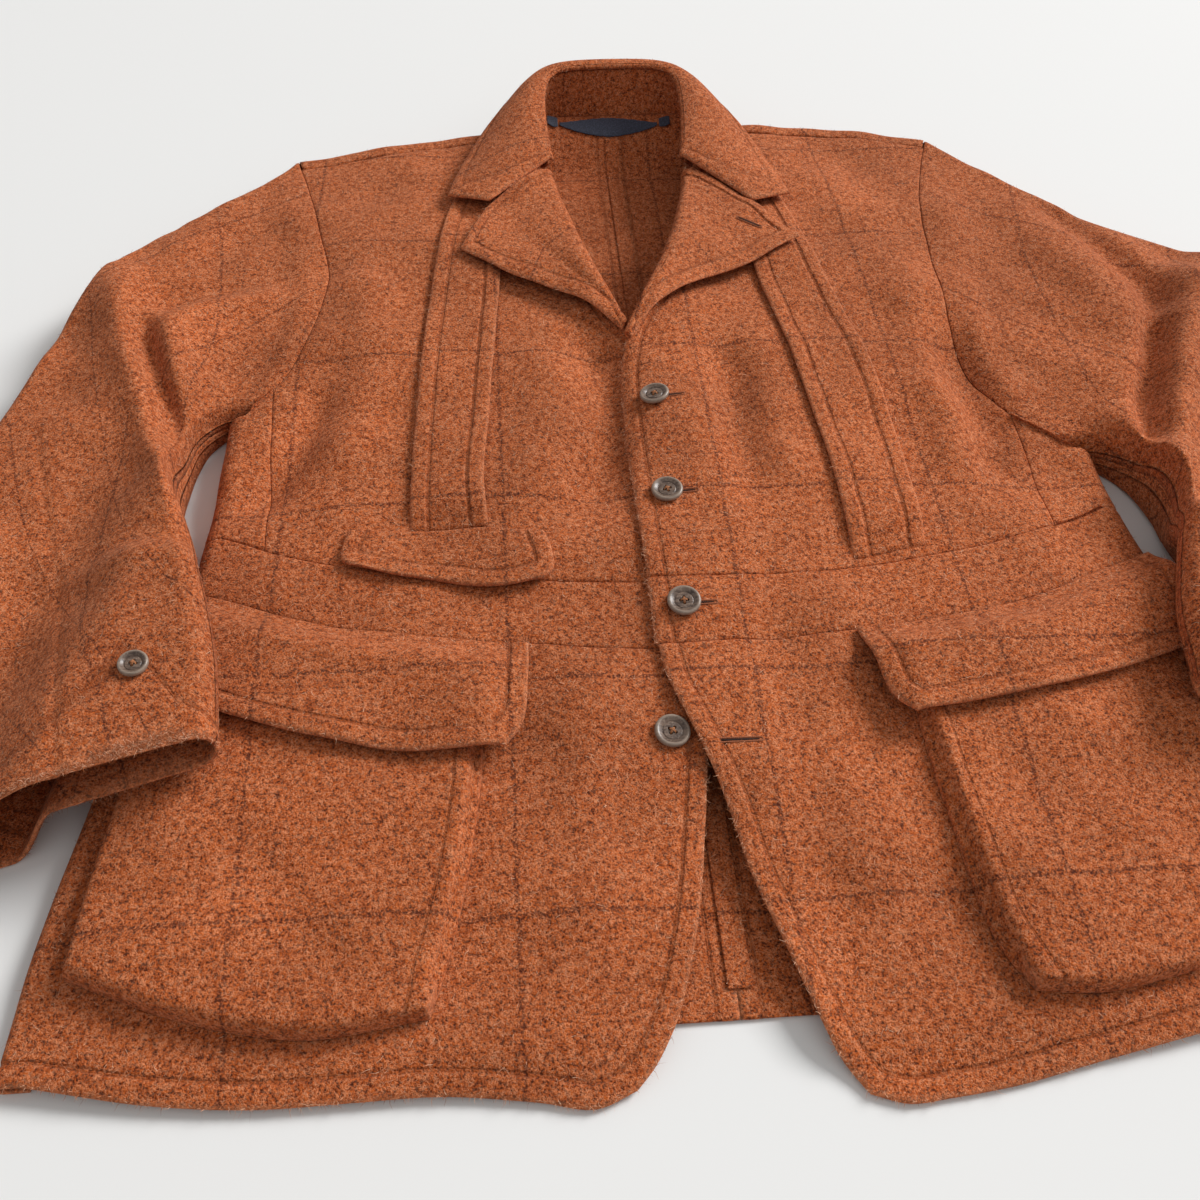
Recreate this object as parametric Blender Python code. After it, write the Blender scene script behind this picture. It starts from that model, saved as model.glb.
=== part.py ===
"""A wool tweed Norfolk jacket, laid on its back on a flat surface.

Metres. +X is the wearer's left, +Y runs from the hem to the collar, +Z is up.
The origin is on the underside of the back, where the jacket rests.
Right and left are the wearer's, so the right side has negative x.
"""
import math

import bmesh
import bpy
import numpy as np
from mathutils.bvhtree import BVHTree

# Driving sizes
WALL = 0.0022          # tweed
DOUBLE_WALL = 0.0030   # flaps and collar, two layers sewn together
TAPE_WALL = 0.0010     # seam tape and labels
SEAM_GAP = 0.0003      # between pieces sewn edge to edge
LAY_GAP = 0.0005       # between a piece and the panel it lies on
BUTTON_GAP = 0.0007    # between a button and the cloth under it
POCKET_FOOT = 0.0025   # how far the bellows slopes in from the pocket's face to the skirt
SIDE_ROLL = 0.012      # how far the rounded side fold reaches in
SIDE_STRIP = 0.010     # turned under at the side, flat on the floor
SHOULDER_ROLL = 0.012
SHOULDER_TURN = 0.008  # back piece carried forward over the shoulder fold
OVERLAP_LIFT = WALL + 0.0014
BELT_DEPTH = 0.0440
NECK_FLAT_Y = 0.745    # the back lies flat up to here
NECK_HALF_WIDTH = 0.054
POCKET_DEPTH = 0.0115  # bellows, from skirt to pocket face
STRAP_TOP_Y = 0.700
LAPEL_ROLL = 0.0056    # radius of the fold at the lapel's roll line
LAPEL_LEG = 0.8        # turned under there, as a share of that radius
LAPEL_CLEAR = 0.0052   # lapel above the front, over the strap
FRONT_COLUMNS = 11
SIDE_ROWS = 4
SHOULDER_GAP = 0.0012
REST_Y = 0.400         # table y of the origin
CENTRE_SEAM_X = -0.002
SLEEVE_ROLL = 0.012
SLEEVE_TURN = np.radians([0.0, 35.0, 65.0])
SLEEVE_FLATS = 9
SHOULDER_POINTS = 7

FRONT_BUTTON = 0.019
CUFF_BUTTON = 0.015

# Lie of the front: height of its upper face above the floor, at the centre and at
# the side fold, and the half width of the body, for each distance above the hem
# columns: y, centre height, side height, half width
BODY_TABLE = [
    (-0.020, 0.0064, 0.0062, 0.331),
    (0.030, 0.0090, 0.0085, 0.329),
    (0.080, 0.0120, 0.0110, 0.325),
    (0.130, 0.0155, 0.0140, 0.318),
    (0.180, 0.0190, 0.0165, 0.309),
    (0.240, 0.0235, 0.0190, 0.293),
    (0.290, 0.0270, 0.0205, 0.282),
    (0.340, 0.0300, 0.0225, 0.277),
    (0.400, 0.0325, 0.0250, 0.275),
    (0.460, 0.0345, 0.0270, 0.274),
    (0.560, 0.0350, 0.0285, 0.276),
    (0.660, 0.0320, 0.0275, 0.278),
    (0.750, 0.0270, 0.0245, 0.280),
    (0.850, 0.0240, 0.0240, 0.280),
]

# Largest soft ridges and troughs of the fronts
# columns: x0, y0, x1, y1, width, height
BODY_FOLDS = [
    (-0.070, 0.380, -0.064, 0.300, 0.018, 0.0030),
    (-0.190, 0.640, -0.200, 0.480, 0.034, 0.0035),
    (-0.040, 0.460, -0.060, 0.360, 0.030, -0.0030),
    (-0.075, 0.200, -0.050, 0.060, 0.024, 0.0022),
    (0.060, 0.470, 0.050, 0.350, 0.030, 0.0030),
    (0.180, 0.640, 0.190, 0.470, 0.034, 0.0035),
    (0.205, 0.470, 0.240, 0.360, 0.022, -0.0030),
    (0.075, 0.200, 0.070, 0.060, 0.024, 0.0022),
]

# Plan lines, right side then left side: columns x, y
ARMHOLE = {
    "right": [(-0.256, 0.748), (-0.242, 0.694), (-0.227, 0.622), (-0.218, 0.570), (-0.2235, 0.520),
              (-0.233, 0.484), (-0.245, 0.458), (-0.259, 0.440)],
    "left": [(0.262, 0.762), (0.244, 0.708), (0.228, 0.650), (0.220, 0.590), (0.214, 0.530),
             (0.2115, 0.480), (0.217, 0.445), (0.231, 0.414), (0.255, 0.386)],
}
SHOULDER_FOLD = {
    "right": [(-0.256, 0.748), (-0.200, 0.762), (-0.147, 0.776), (-0.105, 0.785), (-0.072, 0.788)],
    "left": [(0.262, 0.762), (0.199, 0.780), (0.151, 0.789), (0.109, 0.793), (0.072, 0.792)],
}
FRONT_EDGE = {
    "right": [(0.018, 0.2825), (0.018, 0.360), (0.018, 0.430), (0.013, 0.464), (0.000, 0.487),
              (-0.015, 0.508), (-0.024, 0.528), (-0.035, 0.560), (-0.046, 0.612), (-0.055, 0.656),
              (-0.060, 0.690), (-0.066, 0.728), (-0.070, 0.757)],
    "left": [(-0.0215, 0.2825), (-0.023, 0.350), (-0.023, 0.420), (-0.0195, 0.470), (-0.011, 0.502),
             (0.005, 0.530), (0.016, 0.556), (0.032, 0.603), (0.044, 0.650), (0.051, 0.690),
             (0.060, 0.728), (0.067, 0.765)],
}
SIDE_SEAM = {
    "right": [(-0.2400, 0.3240), (-0.2430, 0.390), (-0.2450, 0.4550)],
    "left": [(0.2290, 0.3140), (0.2300, 0.360), (0.2310, 0.4140)],
}
WAIST_SEAM = [(0.000, 0.2365), (0.060, 0.2390), (0.100, 0.2430), (0.143, 0.2490), (0.180, 0.2565),
              (0.215, 0.2665), (0.250, 0.2800), (0.290, 0.2970)]
SKIRT_EDGE = {
    "right": [(0.018, 0.2365), (0.0155, 0.205), (0.001, 0.172), (-0.006, 0.134), (-0.014, 0.091),
              (-0.022, 0.061), (-0.032, 0.034), (-0.044, 0.015), (-0.052, 0.007)],
    "left": [(-0.0195, 0.2365), (-0.017, 0.214), (-0.005, 0.175), (0.005, 0.139), (0.011, 0.105),
             (0.020, 0.073), (0.029, 0.042), (0.039, 0.015), (0.050, -0.001)],
}
HEM = {
    "right": [(-0.052, 0.007), (-0.069, 0.001), (-0.095, 0.005), (-0.138, 0.010), (-0.176, 0.010),
              (-0.218, 0.010), (-0.260, 0.014), (-0.317, 0.025)],
    "left": [(0.050, -0.001), (0.065, -0.006), (0.087, -0.005), (0.115, -0.002), (0.153, 0.005),
             (0.204, 0.014), (0.260, 0.024), (0.317, 0.036)],
}
BACK_HEM_Y = 0.036

# Sleeves, from the armhole to the cuff: both folded edges in plan, and the loft
# columns: outer x, outer y, inner x, inner y, loft
SLEEVE = {
    "right": [(-0.256, 0.748, -0.259, 0.440, 0.026), (-0.289, 0.703, -0.2780, 0.436, 0.030),
              (-0.321, 0.665, -0.2905, 0.420, 0.033), (-0.350, 0.634, -0.2945, 0.399, 0.035),
              (-0.373, 0.598, -0.2950, 0.376, 0.036), (-0.390, 0.549, -0.2935, 0.362, 0.036),
              (-0.403, 0.490, -0.2890, 0.347, 0.035), (-0.418, 0.426, -0.2820, 0.330, 0.033),
              (-0.431, 0.360, -0.2740, 0.308, 0.031), (-0.437, 0.295, -0.2650, 0.280, 0.029),
              (-0.433, 0.235, -0.2560, 0.250, 0.027), (-0.417, 0.185, -0.2480, 0.215, 0.026),
              (-0.390, 0.124, -0.2420, 0.168, 0.025)],
    "left": [(0.262, 0.762, 0.255, 0.386, 0.026), (0.296, 0.711, 0.2780, 0.381, 0.030),
             (0.329, 0.669, 0.2930, 0.367, 0.033), (0.364, 0.636, 0.2985, 0.350, 0.035),
             (0.400, 0.605, 0.3000, 0.332, 0.036), (0.433, 0.572, 0.2990, 0.323, 0.036),
             (0.461, 0.533, 0.2965, 0.314, 0.035), (0.477, 0.477, 0.2920, 0.303, 0.033),
             (0.484, 0.415, 0.2850, 0.288, 0.031), (0.474, 0.345, 0.2760, 0.268, 0.029),
             (0.458, 0.280, 0.2665, 0.245, 0.027), (0.436, 0.215, 0.2570, 0.217, 0.026),
             (0.398, 0.125, 0.2510, 0.176, 0.025)],
}
# Folds at the elbows: columns x0, y0, x1, y1, width, height
SLEEVE_FOLDS = {
    "right": [(-0.350, 0.510, -0.306, 0.375, 0.018, 0.0080), (-0.322, 0.520, -0.292, 0.440, 0.013, -0.0090),
              (-0.262, 0.680, -0.300, 0.560, 0.020, -0.0060), (-0.250, 0.560, -0.330, 0.530, 0.018, 0.0060)],
    "left": [(0.400, 0.530, 0.322, 0.375, 0.018, 0.0080), (0.345, 0.510, 0.312, 0.420, 0.013, -0.0090),
             (0.285, 0.690, 0.345, 0.540, 0.022, 0.0070), (0.345, 0.655, 0.400, 0.560, 0.024, -0.0070)],
}

STRAP = {
    "right": {"inner": [(-0.110, 0.3270), (-0.112, 0.360), (-0.108, 0.420), (-0.102, 0.500), (-0.096, 0.577),
                        (-0.090, 0.640), (-0.080, STRAP_TOP_Y)],
              "outer": [(-0.156, 0.3270), (-0.156, 0.360), (-0.154, 0.420), (-0.149, 0.505), (-0.142, 0.590),
                        (-0.134, 0.650), (-0.120, STRAP_TOP_Y)]},
    "left": {"inner": [(0.101, 0.2925), (0.100, 0.365), (0.096, 0.431), (0.090, 0.505), (0.084, 0.573),
                       (0.080, 0.640), (0.076, STRAP_TOP_Y)],
             "outer": [(0.146, 0.3010), (0.148, 0.389), (0.145, 0.459), (0.135, 0.537), (0.126, 0.620),
                       (0.121, 0.660), (0.112, STRAP_TOP_Y)]},
}
BREAST_FLAP = {
    "top": [(-0.078, 0.3190), (-0.120, 0.3250), (-0.156, 0.3260), (-0.192, 0.3290)],
    "bottom": [(-0.080, 0.2830), (-0.100, 0.2800), (-0.137, 0.2870), (-0.170, 0.2930), (-0.186, 0.2990)],
    "inner": [(-0.078, 0.3190), (-0.074, 0.302), (-0.074, 0.290), (-0.080, 0.2830)],
    "outer": [(-0.192, 0.3290), (-0.195, 0.312), (-0.193, 0.303), (-0.186, 0.2990)],
}
POCKET_FLAP = {
    "right": {"inner": [(-0.090, 0.2400), (-0.0915, 0.210), (-0.095, 0.186), (-0.104, 0.1715)],
              "bottom": [(-0.104, 0.1715), (-0.142, 0.169), (-0.172, 0.173), (-0.207, 0.182), (-0.246, 0.197),
                         (-0.282, 0.212)],
              "outer": [(-0.278, 0.2890), (-0.281, 0.250), (-0.282, 0.212)]},
    "left": {"inner": [(0.091, 0.2400), (0.094, 0.212), (0.099, 0.190), (0.108, 0.178)],
             "bottom": [(0.108, 0.178), (0.154, 0.184), (0.199, 0.192), (0.240, 0.203), (0.282, 0.217)],
             "outer": [(0.278, 0.2890), (0.281, 0.250), (0.282, 0.217)]},
}
POCKET = {
    "right": {"inner": [(-0.115, 0.2150), (-0.118, 0.150), (-0.126, 0.100), (-0.136, 0.060), (-0.142, 0.042)],
              "bottom": [(-0.142, 0.042), (-0.166, 0.0385), (-0.195, 0.036), (-0.225, 0.0405), (-0.255, 0.049),
                         (-0.285, 0.061), (-0.306, 0.070)],
              "outer": [(-0.287, 0.2350), (-0.293, 0.180), (-0.301, 0.120), (-0.306, 0.070)]},
    "left": {"inner": [(0.112, 0.2150), (0.1135, 0.150), (0.117, 0.095), (0.123, 0.058), (0.134, 0.037)],
             "bottom": [(0.134, 0.037), (0.160, 0.034), (0.205, 0.040), (0.250, 0.050), (0.306, 0.066)],
             "outer": [(0.287, 0.2350), (0.293, 0.180), (0.301, 0.120), (0.306, 0.066)]},
}

# Lapels: the roll line, the outer edge up to the tip, and the gorge with the notch
LAPEL = {
    "right": {"roll": [(-0.0165, 0.508), (-0.0205, 0.524), (-0.031, 0.557), (-0.042, 0.610), (-0.051, 0.655),
                       (-0.056, 0.690)],
              "edge": [(-0.0225, 0.503), (-0.029, 0.512), (-0.040, 0.523), (-0.062, 0.539), (-0.092, 0.558),
                       (-0.125, 0.588)],
              "gorge": [(-0.056, 0.690), (-0.080, 0.667), (-0.103, 0.643), (-0.114, 0.616), (-0.125, 0.588)]},
    "left": {"roll": [(-0.009, 0.505), (0.003, 0.530), (0.013, 0.555), (0.029, 0.602), (0.041, 0.650),
                      (0.048, 0.690)],
             "edge": [(-0.002, 0.500), (0.010, 0.514), (0.026, 0.529), (0.048, 0.546), (0.080, 0.564),
                      (0.121, 0.592)],
             "gorge": [(0.048, 0.690), (0.070, 0.665), (0.094, 0.637), (0.107, 0.614), (0.121, 0.592)]},
}

# Collar, from the wearer's right gorge round the neck to the left gorge
# columns: seam x, y, z (where the stand is sewn on), fold x, y, z, outer edge x, y, z
COLLAR = [
    (-0.0600, 0.700, 0.0370, -0.056, 0.694, 0.050, -0.134, 0.662, 0.0400),
    (-0.0650, 0.722, 0.0360, -0.058, 0.722, 0.053, -0.128, 0.690, 0.0380),
    (-0.0680, 0.748, 0.0350, -0.059, 0.753, 0.057, -0.117, 0.724, 0.0380),
    (-0.0660, 0.776, 0.0320, -0.057, 0.785, 0.061, -0.102, 0.762, 0.0390),
    (-0.0550, 0.796, 0.0270, -0.050, 0.804, 0.062, -0.084, 0.803, 0.0340),
    (-0.0340, 0.804, 0.0240, -0.034, 0.813, 0.063, -0.056, 0.837, 0.0220),
    (0.0000, 0.806, 0.0230, 0.000, 0.816, 0.063, 0.000, 0.845, 0.0150),
    (0.0340, 0.806, 0.0240, 0.034, 0.815, 0.063, 0.056, 0.839, 0.0220),
    (0.0550, 0.799, 0.0270, 0.050, 0.806, 0.062, 0.082, 0.806, 0.0340),
    (0.0660, 0.780, 0.0320, 0.055, 0.786, 0.061, 0.098, 0.770, 0.0390),
    (0.0650, 0.752, 0.0350, 0.055, 0.755, 0.057, 0.110, 0.732, 0.0380),
    (0.0610, 0.722, 0.0360, 0.052, 0.722, 0.053, 0.118, 0.694, 0.0380),
    (0.0550, 0.700, 0.0370, 0.048, 0.694, 0.050, 0.126, 0.656, 0.0400),
]
NOTCH = {"right": (-0.103, 0.6475, 0.043), "left": (0.094, 0.6415, 0.043)}

# Buttons: columns name, x, y, across, which front it sits on
BUTTONS = [
    ("button_1", -0.0020, 0.4280, FRONT_BUTTON, "over"),
    ("button_2", -0.0030, 0.3460, FRONT_BUTTON, "over"),
    ("button_3", -0.0030, 0.2610, FRONT_BUTTON, "over"),
    ("button_4", -0.0180, 0.1820, FRONT_BUTTON, "under"),
]
# name, middle, half length, half depth, half depth at the ends, gap under it
NECK_PIECES = [("neck_label", (-0.002, 0.7900), 0.041, 0.0087, 0.0012, 2 * LAY_GAP),
               ("tab_right", (-0.0490, 0.7910), 0.0045, 0.0050, 0.0040, 3 * LAY_GAP),
               ("tab_left", (0.0450, 0.7910), 0.0045, 0.0045, 0.0036, 3 * LAY_GAP)]
CUFF_BUTTONS = {"right": (-0.284, 0.207), "left": (0.290, 0.262)}

TWEED = (0.42, 0.145, 0.055, 1.0)
NAVY = (0.015, 0.022, 0.045, 1.0)
HORN = (0.17, 0.13, 0.10, 1.0)
SIGN = {"right": -1.0, "left": 1.0}


# ---------- curves and surfaces ----------

def smoothstep(value):
    value = np.clip(value, 0.0, 1.0)
    return value * value * (3.0 - 2.0 * value)


def through(table, positions, knots=None):
    """Cubic curve through the rows of a table, at positions along its knots."""
    rows = np.asarray(table, float)
    if rows.ndim == 1:
        rows = rows[:, None]
    if knots is None:
        steps = np.linalg.norm(np.diff(rows[:, :2], axis=0), axis=1)
        knots = np.concatenate([[0.0], np.cumsum(steps)]) / steps.sum()
    knots = np.asarray(knots, float)
    slopes = np.gradient(rows, knots, axis=0)
    index = np.clip(np.searchsorted(knots, positions, side="right") - 1, 0, len(knots) - 2)
    span = (knots[index + 1] - knots[index])[..., None]
    t = ((positions - knots[index])[..., None]) / span
    return (rows[index] * (1 + 2 * t) * (1 - t) ** 2 + slopes[index] * span * t * (1 - t) ** 2
            + rows[index + 1] * t * t * (3 - 2 * t) + slopes[index + 1] * span * t * t * (t - 1))


def line(table, count, start=0.0, end=1.0):
    """Points at equal steps along a smooth plan line."""
    dense = through(table, np.linspace(0.0, 1.0, 400))
    length = np.concatenate([[0.0], np.cumsum(np.linalg.norm(np.diff(dense, axis=0), axis=1))])
    wanted = np.linspace(start, end, count) * length[-1]
    return np.stack([np.interp(wanted, length, dense[:, k]) for k in range(dense.shape[1])], axis=1)


def patch(bottom, top, inner, outer):
    """Plan grid spanned between four plan lines: rows run from bottom to top."""
    columns = np.linspace(0.0, 1.0, len(bottom))[None, :, None]
    rows = np.linspace(0.0, 1.0, len(inner))[:, None, None]
    corners = (bottom[0] * (1 - columns) * (1 - rows) + bottom[-1] * columns * (1 - rows)
               + top[0] * (1 - columns) * rows + top[-1] * columns * rows)
    return (bottom[None] * (1 - rows) + top[None] * rows
            + inner[:, None] * (1 - columns) + outer[:, None] * columns - corners)


def body_value(y, column):
    table = np.asarray(BODY_TABLE)
    return through(table[:, column], np.clip(y, table[0, 0], table[-1, 0]), table[:, 0])[..., 0]


def half_width(y):
    return body_value(y, 3)


def soft_folds(x, y, folds):
    """Sum of soft ridges, each a bell across its line that fades past its ends."""
    height = np.zeros_like(x)
    for x0, y0, x1, y1, width, rise in folds:
        along_x, along_y = x1 - x0, y1 - y0
        square = along_x ** 2 + along_y ** 2
        t = np.clip(((x - x0) * along_x + (y - y0) * along_y) / square, 0.0, 1.0)
        distance = (x - x0 - t * along_x) ** 2 + (y - y0 - t * along_y) ** 2
        height = height + rise * np.exp(-distance / (2 * width ** 2))
    return height


def front_height(x, y):
    """Upper face of a single front layer above the floor."""
    centre, side = body_value(y, 1), body_value(y, 2)
    across = np.clip(np.abs(x) / half_width(y), 0.0, 1.0)
    fade = smoothstep((y - 0.02) / 0.08)
    return side + (centre - side) * (1 - across ** 2) + fade * soft_folds(x, y, BODY_FOLDS)


def overlap_lift(x, y):
    """How much higher the lapping front lies than a single layer."""
    over_button = 0.0040 * np.exp(-((x + 0.018) ** 2 + (y - 0.182) ** 2) / (2 * 0.022 ** 2))
    return (OVERLAP_LIFT + over_button) * smoothstep((0.055 - x) / 0.030)


def lie(side, x, y):
    """Upper face of the front on either side of the jacket."""
    height = front_height(x, y)
    return height + overlap_lift(x, y) if side == "left" else height


def with_height(plan, side, lift=0.0):
    return np.dstack([plan, lie(side, plan[..., 0], plan[..., 1]) + lift])


def section_normals(grid, side):
    """Outward normals that stay in each row's upright cross-section."""
    tangent = np.gradient(grid, axis=1)
    normal = np.dstack([-tangent[..., 2], np.zeros(grid.shape[:2]), tangent[..., 0]]) * SIGN[side]
    return normal / np.linalg.norm(normal, axis=2)[..., None]


def surface_normals(grid, sign=1.0):
    normal = np.cross(np.gradient(grid, axis=1), np.gradient(grid, axis=0)) * sign
    return normal / np.linalg.norm(normal, axis=2)[..., None]


# ---------- making the pieces ----------

def start_scene():
    for obj in list(bpy.data.objects):
        bpy.data.objects.remove(obj)
    collection = bpy.data.collections.new("norfolk_jacket")
    bpy.context.scene.collection.children.link(collection)
    cutters = bpy.data.collections.new("cutters")
    bpy.context.scene.collection.children.link(cutters)
    return collection, cutters


def make_material(name, color, roughness):
    material = bpy.data.materials.new(name)
    material.use_nodes = True
    shader = material.node_tree.nodes["Principled BSDF"]
    shader.inputs["Base Color"].default_value = color
    shader.inputs["Roughness"].default_value = roughness
    shader.inputs["Metallic"].default_value = 0.0
    return material


def add_shell(name, outer, inner, color=TWEED, roughness=0.95):
    """A grid laid on the outer points, extruded to the inner points: one closed wall."""
    rows, columns = outer.shape[:2]
    mesh = bpy.data.meshes.new(name)
    shell = bmesh.new()
    bmesh.ops.create_grid(shell, x_segments=columns - 1, y_segments=rows - 1, size=1.0)
    tag = shell.verts.layers.int.new("row_column")
    for index, vert in enumerate(shell.verts):
        vert[tag] = index
    extruded = bmesh.ops.extrude_face_region(shell, geom=shell.faces[:], use_keep_orig=True)
    raised = {item for item in extruded["geom"] if isinstance(item, bmesh.types.BMVert)}
    outer_points = outer.reshape(-1, 3)
    inner_points = inner.reshape(-1, 3)
    for vert in shell.verts:
        vert.co = (inner_points if vert in raised else outer_points)[vert[tag]]
    bmesh.ops.recalc_face_normals(shell, faces=shell.faces[:])
    if shell.calc_volume(signed=True) < 0:
        bmesh.ops.reverse_faces(shell, faces=shell.faces[:])
    bmesh.ops.triangulate(shell, faces=shell.faces[:], quad_method="SHORT_EDGE")
    shell.to_mesh(mesh)
    shell.free()
    obj = bpy.data.objects.new(name, mesh)
    mesh.materials.append(make_material(name, color, roughness))
    PARTS.objects.link(obj)
    mesh.shade_smooth()
    mesh.set_sharp_from_angle(angle=math.radians(40))
    return obj


def add_height_shell(name, plan, side, lift, wall, color=TWEED):
    outer = with_height(plan, side, lift + wall)
    inner = with_height(plan, side, lift)
    return add_shell(name, outer, inner, color)


# ---------- body ----------

def roll_columns(edge, side):
    """Carries each row round the side fold and a little way under, flat on the floor."""
    angles = np.radians([60.0, 25.0, -10.0, -45.0, -90.0])
    columns = []
    reach = np.minimum(SIDE_ROLL, 0.55 * edge[:, 2])
    for angle in angles:
        x = edge[:, 0] + SIGN[side] * (SIDE_ROLL - reach + reach * math.cos(angle))
        columns.append(np.stack([x, edge[:, 1], edge[:, 2] * 0.5 * (1 + math.sin(angle))], axis=1))
    under = columns[-1].copy()
    under[:, 0] -= SIGN[side] * SIDE_STRIP
    columns.append(under)
    return np.stack(columns, axis=1)


def fold_start(side, y):
    return SIGN[side] * (half_width(y) - SIDE_ROLL)


def rolled_piece(name, side, plan):
    grid = with_height(plan, side)
    grid = np.concatenate([grid, roll_columns(grid[:, -1], side)], axis=1)
    inner = grid - section_normals(grid, side) * WALL
    grid[..., 2] = np.where(grid[..., 2] < 1e-6, 0.0, grid[..., 2])
    return add_shell(name, grid, inner)


def waist_y(x):
    table = np.asarray(WAIST_SEAM)
    return through(table[:, 1], np.abs(x), table[:, 0])[..., 0]


def waist_line(side, x_start, count, lift_y=0.0, x_end=None):
    """Waist seam, or a line parallel to it, from x_start out to the side fold."""
    if x_end is None:
        x_end = fold_start(side, 0.29)
        for _ in range(6):
            x_end = fold_start(side, waist_y(x_end) + lift_y)
    x = np.linspace(x_start, x_end, count)
    return np.stack([x, waist_y(x) + lift_y], axis=1)


def make_skirt(side):
    top = waist_line(side, SKIRT_EDGE[side][0][0], 13, -SEAM_GAP)
    inner = line(SKIRT_EDGE[side], 11)[::-1]
    outer_y = np.linspace(HEM[side][-1][1], top[-1, 1], 11)
    outer = np.stack([fold_start(side, outer_y), outer_y], axis=1)
    bottom = line(HEM[side], 13)
    bottom[-1] = outer[0]
    inner[-1] = top[0]
    rolled_piece("skirt_" + side, side, patch(bottom, top, inner, outer))


def make_belt(side):
    edge_x = 0.018 if side == "right" else -0.0215
    bottom = waist_line(side, edge_x, 13)
    top = waist_line(side, edge_x, 13, BELT_DEPTH)
    inner = np.linspace(bottom[0], top[0], 4)
    outer = np.linspace(bottom[-1], top[-1], 4)
    outer[:, 0] = fold_start(side, outer[:, 1])
    rolled_piece("belt_" + side, side, patch(bottom, top, inner, outer))


def across_sleeve(width):
    """Fractions across a sleeve of that width, close together in the rolled edges."""
    edge = SLEEVE_ROLL * (1 - np.cos(SLEEVE_TURN)) / width
    flat = np.linspace(SLEEVE_ROLL / width, 1 - SLEEVE_ROLL / width, SLEEVE_FLATS)
    return np.concatenate([edge, flat, 1 - edge[::-1]])


def armhole_points(side):
    """Armhole corners shared by the sleeve, the front and the back, from the shoulder down."""
    dense = line(ARMHOLE[side], 400)
    length = np.linalg.norm(np.diff(dense, axis=0), axis=1).sum()
    place = across_sleeve(length)
    return np.stack([np.interp(place, np.linspace(0, 1, 400), dense[:, k]) for k in range(2)], axis=1)


def underarm_index(side):
    """The armhole corner where the front's side seam ends."""
    return int(np.argmin(np.linalg.norm(armhole_points(side) - np.asarray(SIDE_SEAM[side][-1]), axis=1)))


def side_seam(side, count):
    table = SIDE_SEAM[side][:-1] + [tuple(armhole_points(side)[underarm_index(side)])]
    return line(table, count)


def fold_y(side, x):
    """Shoulder fold, as y for each x."""
    points = shoulder_line(side)
    order = np.argsort(points[:, 0])
    return np.interp(x, points[order, 0], points[order, 1])


def shoulder_line(side):
    """Shoulder fold from the neck out to the armhole, shared by front and back."""
    return line(SHOULDER_FOLD[side], SHOULDER_POINTS)[::-1]


def armhole_x(side, y):
    """Armhole line near the shoulder, as x for each y."""
    points = armhole_points(side)[:8]
    order = np.argsort(points[:, 1])
    return np.interp(y, points[order, 1], points[order, 0])


def make_front(side):
    seam_x = SIDE_SEAM[side][0][0]
    edge_x = FRONT_EDGE[side][0][0]
    bottom = waist_line(side, edge_x, FRONT_COLUMNS, BELT_DEPTH + SEAM_GAP, seam_x - SIGN[side] * SEAM_GAP)
    first = armhole_points(side)[:underarm_index(side) + 1][::-1]
    neck_end = shoulder_line(side)[0]
    strip = SHOULDER_ROLL + SHOULDER_TURN + SEAM_GAP
    end_x = first[-1, 0]
    for _ in range(6):
        end_x = armhole_x(side, fold_y(side, end_x) - strip) - SIGN[side] * SEAM_GAP
    shoulder_x = np.linspace(neck_end[0], end_x, FRONT_COLUMNS)
    shoulder = np.stack([shoulder_x, fold_y(side, shoulder_x) - strip], axis=1)
    armhole = first[first[:, 1] < shoulder[-1, 1] - 0.004]
    armhole[:, 0] -= SIGN[side] * SEAM_GAP
    armhole[:, 1] += 0.5 * SEAM_GAP
    seam = side_seam(side, SIDE_ROWS)
    seam[:, 0] -= SIGN[side] * SEAM_GAP
    seam[0, 1] = bottom[-1, 1]
    outer = np.concatenate([seam[:-1], armhole, shoulder[-1:]])
    inner = line(FRONT_EDGE[side], len(outer))
    inner[0], inner[-1] = bottom[0], shoulder[0]
    bottom[-1] = outer[0]
    plan = patch(bottom, shoulder, inner, outer)
    grid = with_height(plan, side)
    inner_face = grid - section_normals(grid, side) * WALL
    add_shell("front_" + side, grid, inner_face)


def make_side(side):
    """Underarm panel, from the front's side seam round the side fold."""
    seam = side_seam(side, SIDE_ROWS)
    seam[:, 0] += SIGN[side] * SEAM_GAP
    bottom = waist_line(side, seam[0, 0], 4, BELT_DEPTH + SEAM_GAP)
    seam[0] = bottom[0]
    points = armhole_points(side)[underarm_index(side):]
    end_y = points[-1, 1] - 0.0060
    end_x = fold_start(side, end_y)
    top_x = np.linspace(seam[-1, 0], end_x, 4)
    points = np.concatenate([points, [[end_x, end_y + 0.0012]]])
    order = np.argsort(points[:, 0])
    top_y = np.interp(top_x, points[order, 0], points[order, 1]) - 0.0012
    top = np.stack([top_x, top_y], axis=1)
    seam[-1] = top[0]
    outer_y = np.linspace(bottom[-1, 1], end_y, SIDE_ROWS)
    outer = np.stack([fold_start(side, outer_y), outer_y], axis=1)
    rolled_piece("side_" + side, side, patch(bottom, top, seam, outer))


def neck_line(x):
    """Where the back meets the foot of the collar stand, as y and z for each x."""
    stations = collar_rows(97)[24:73]
    order = np.argsort(stations[:, 0])
    y = np.interp(x, stations[order, 0], stations[order, 1])
    z = np.interp(x, stations[order, 0], stations[order, 2])
    return y - 0.5 * WALL - 2 * SEAM_GAP, z + SEAM_GAP


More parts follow.
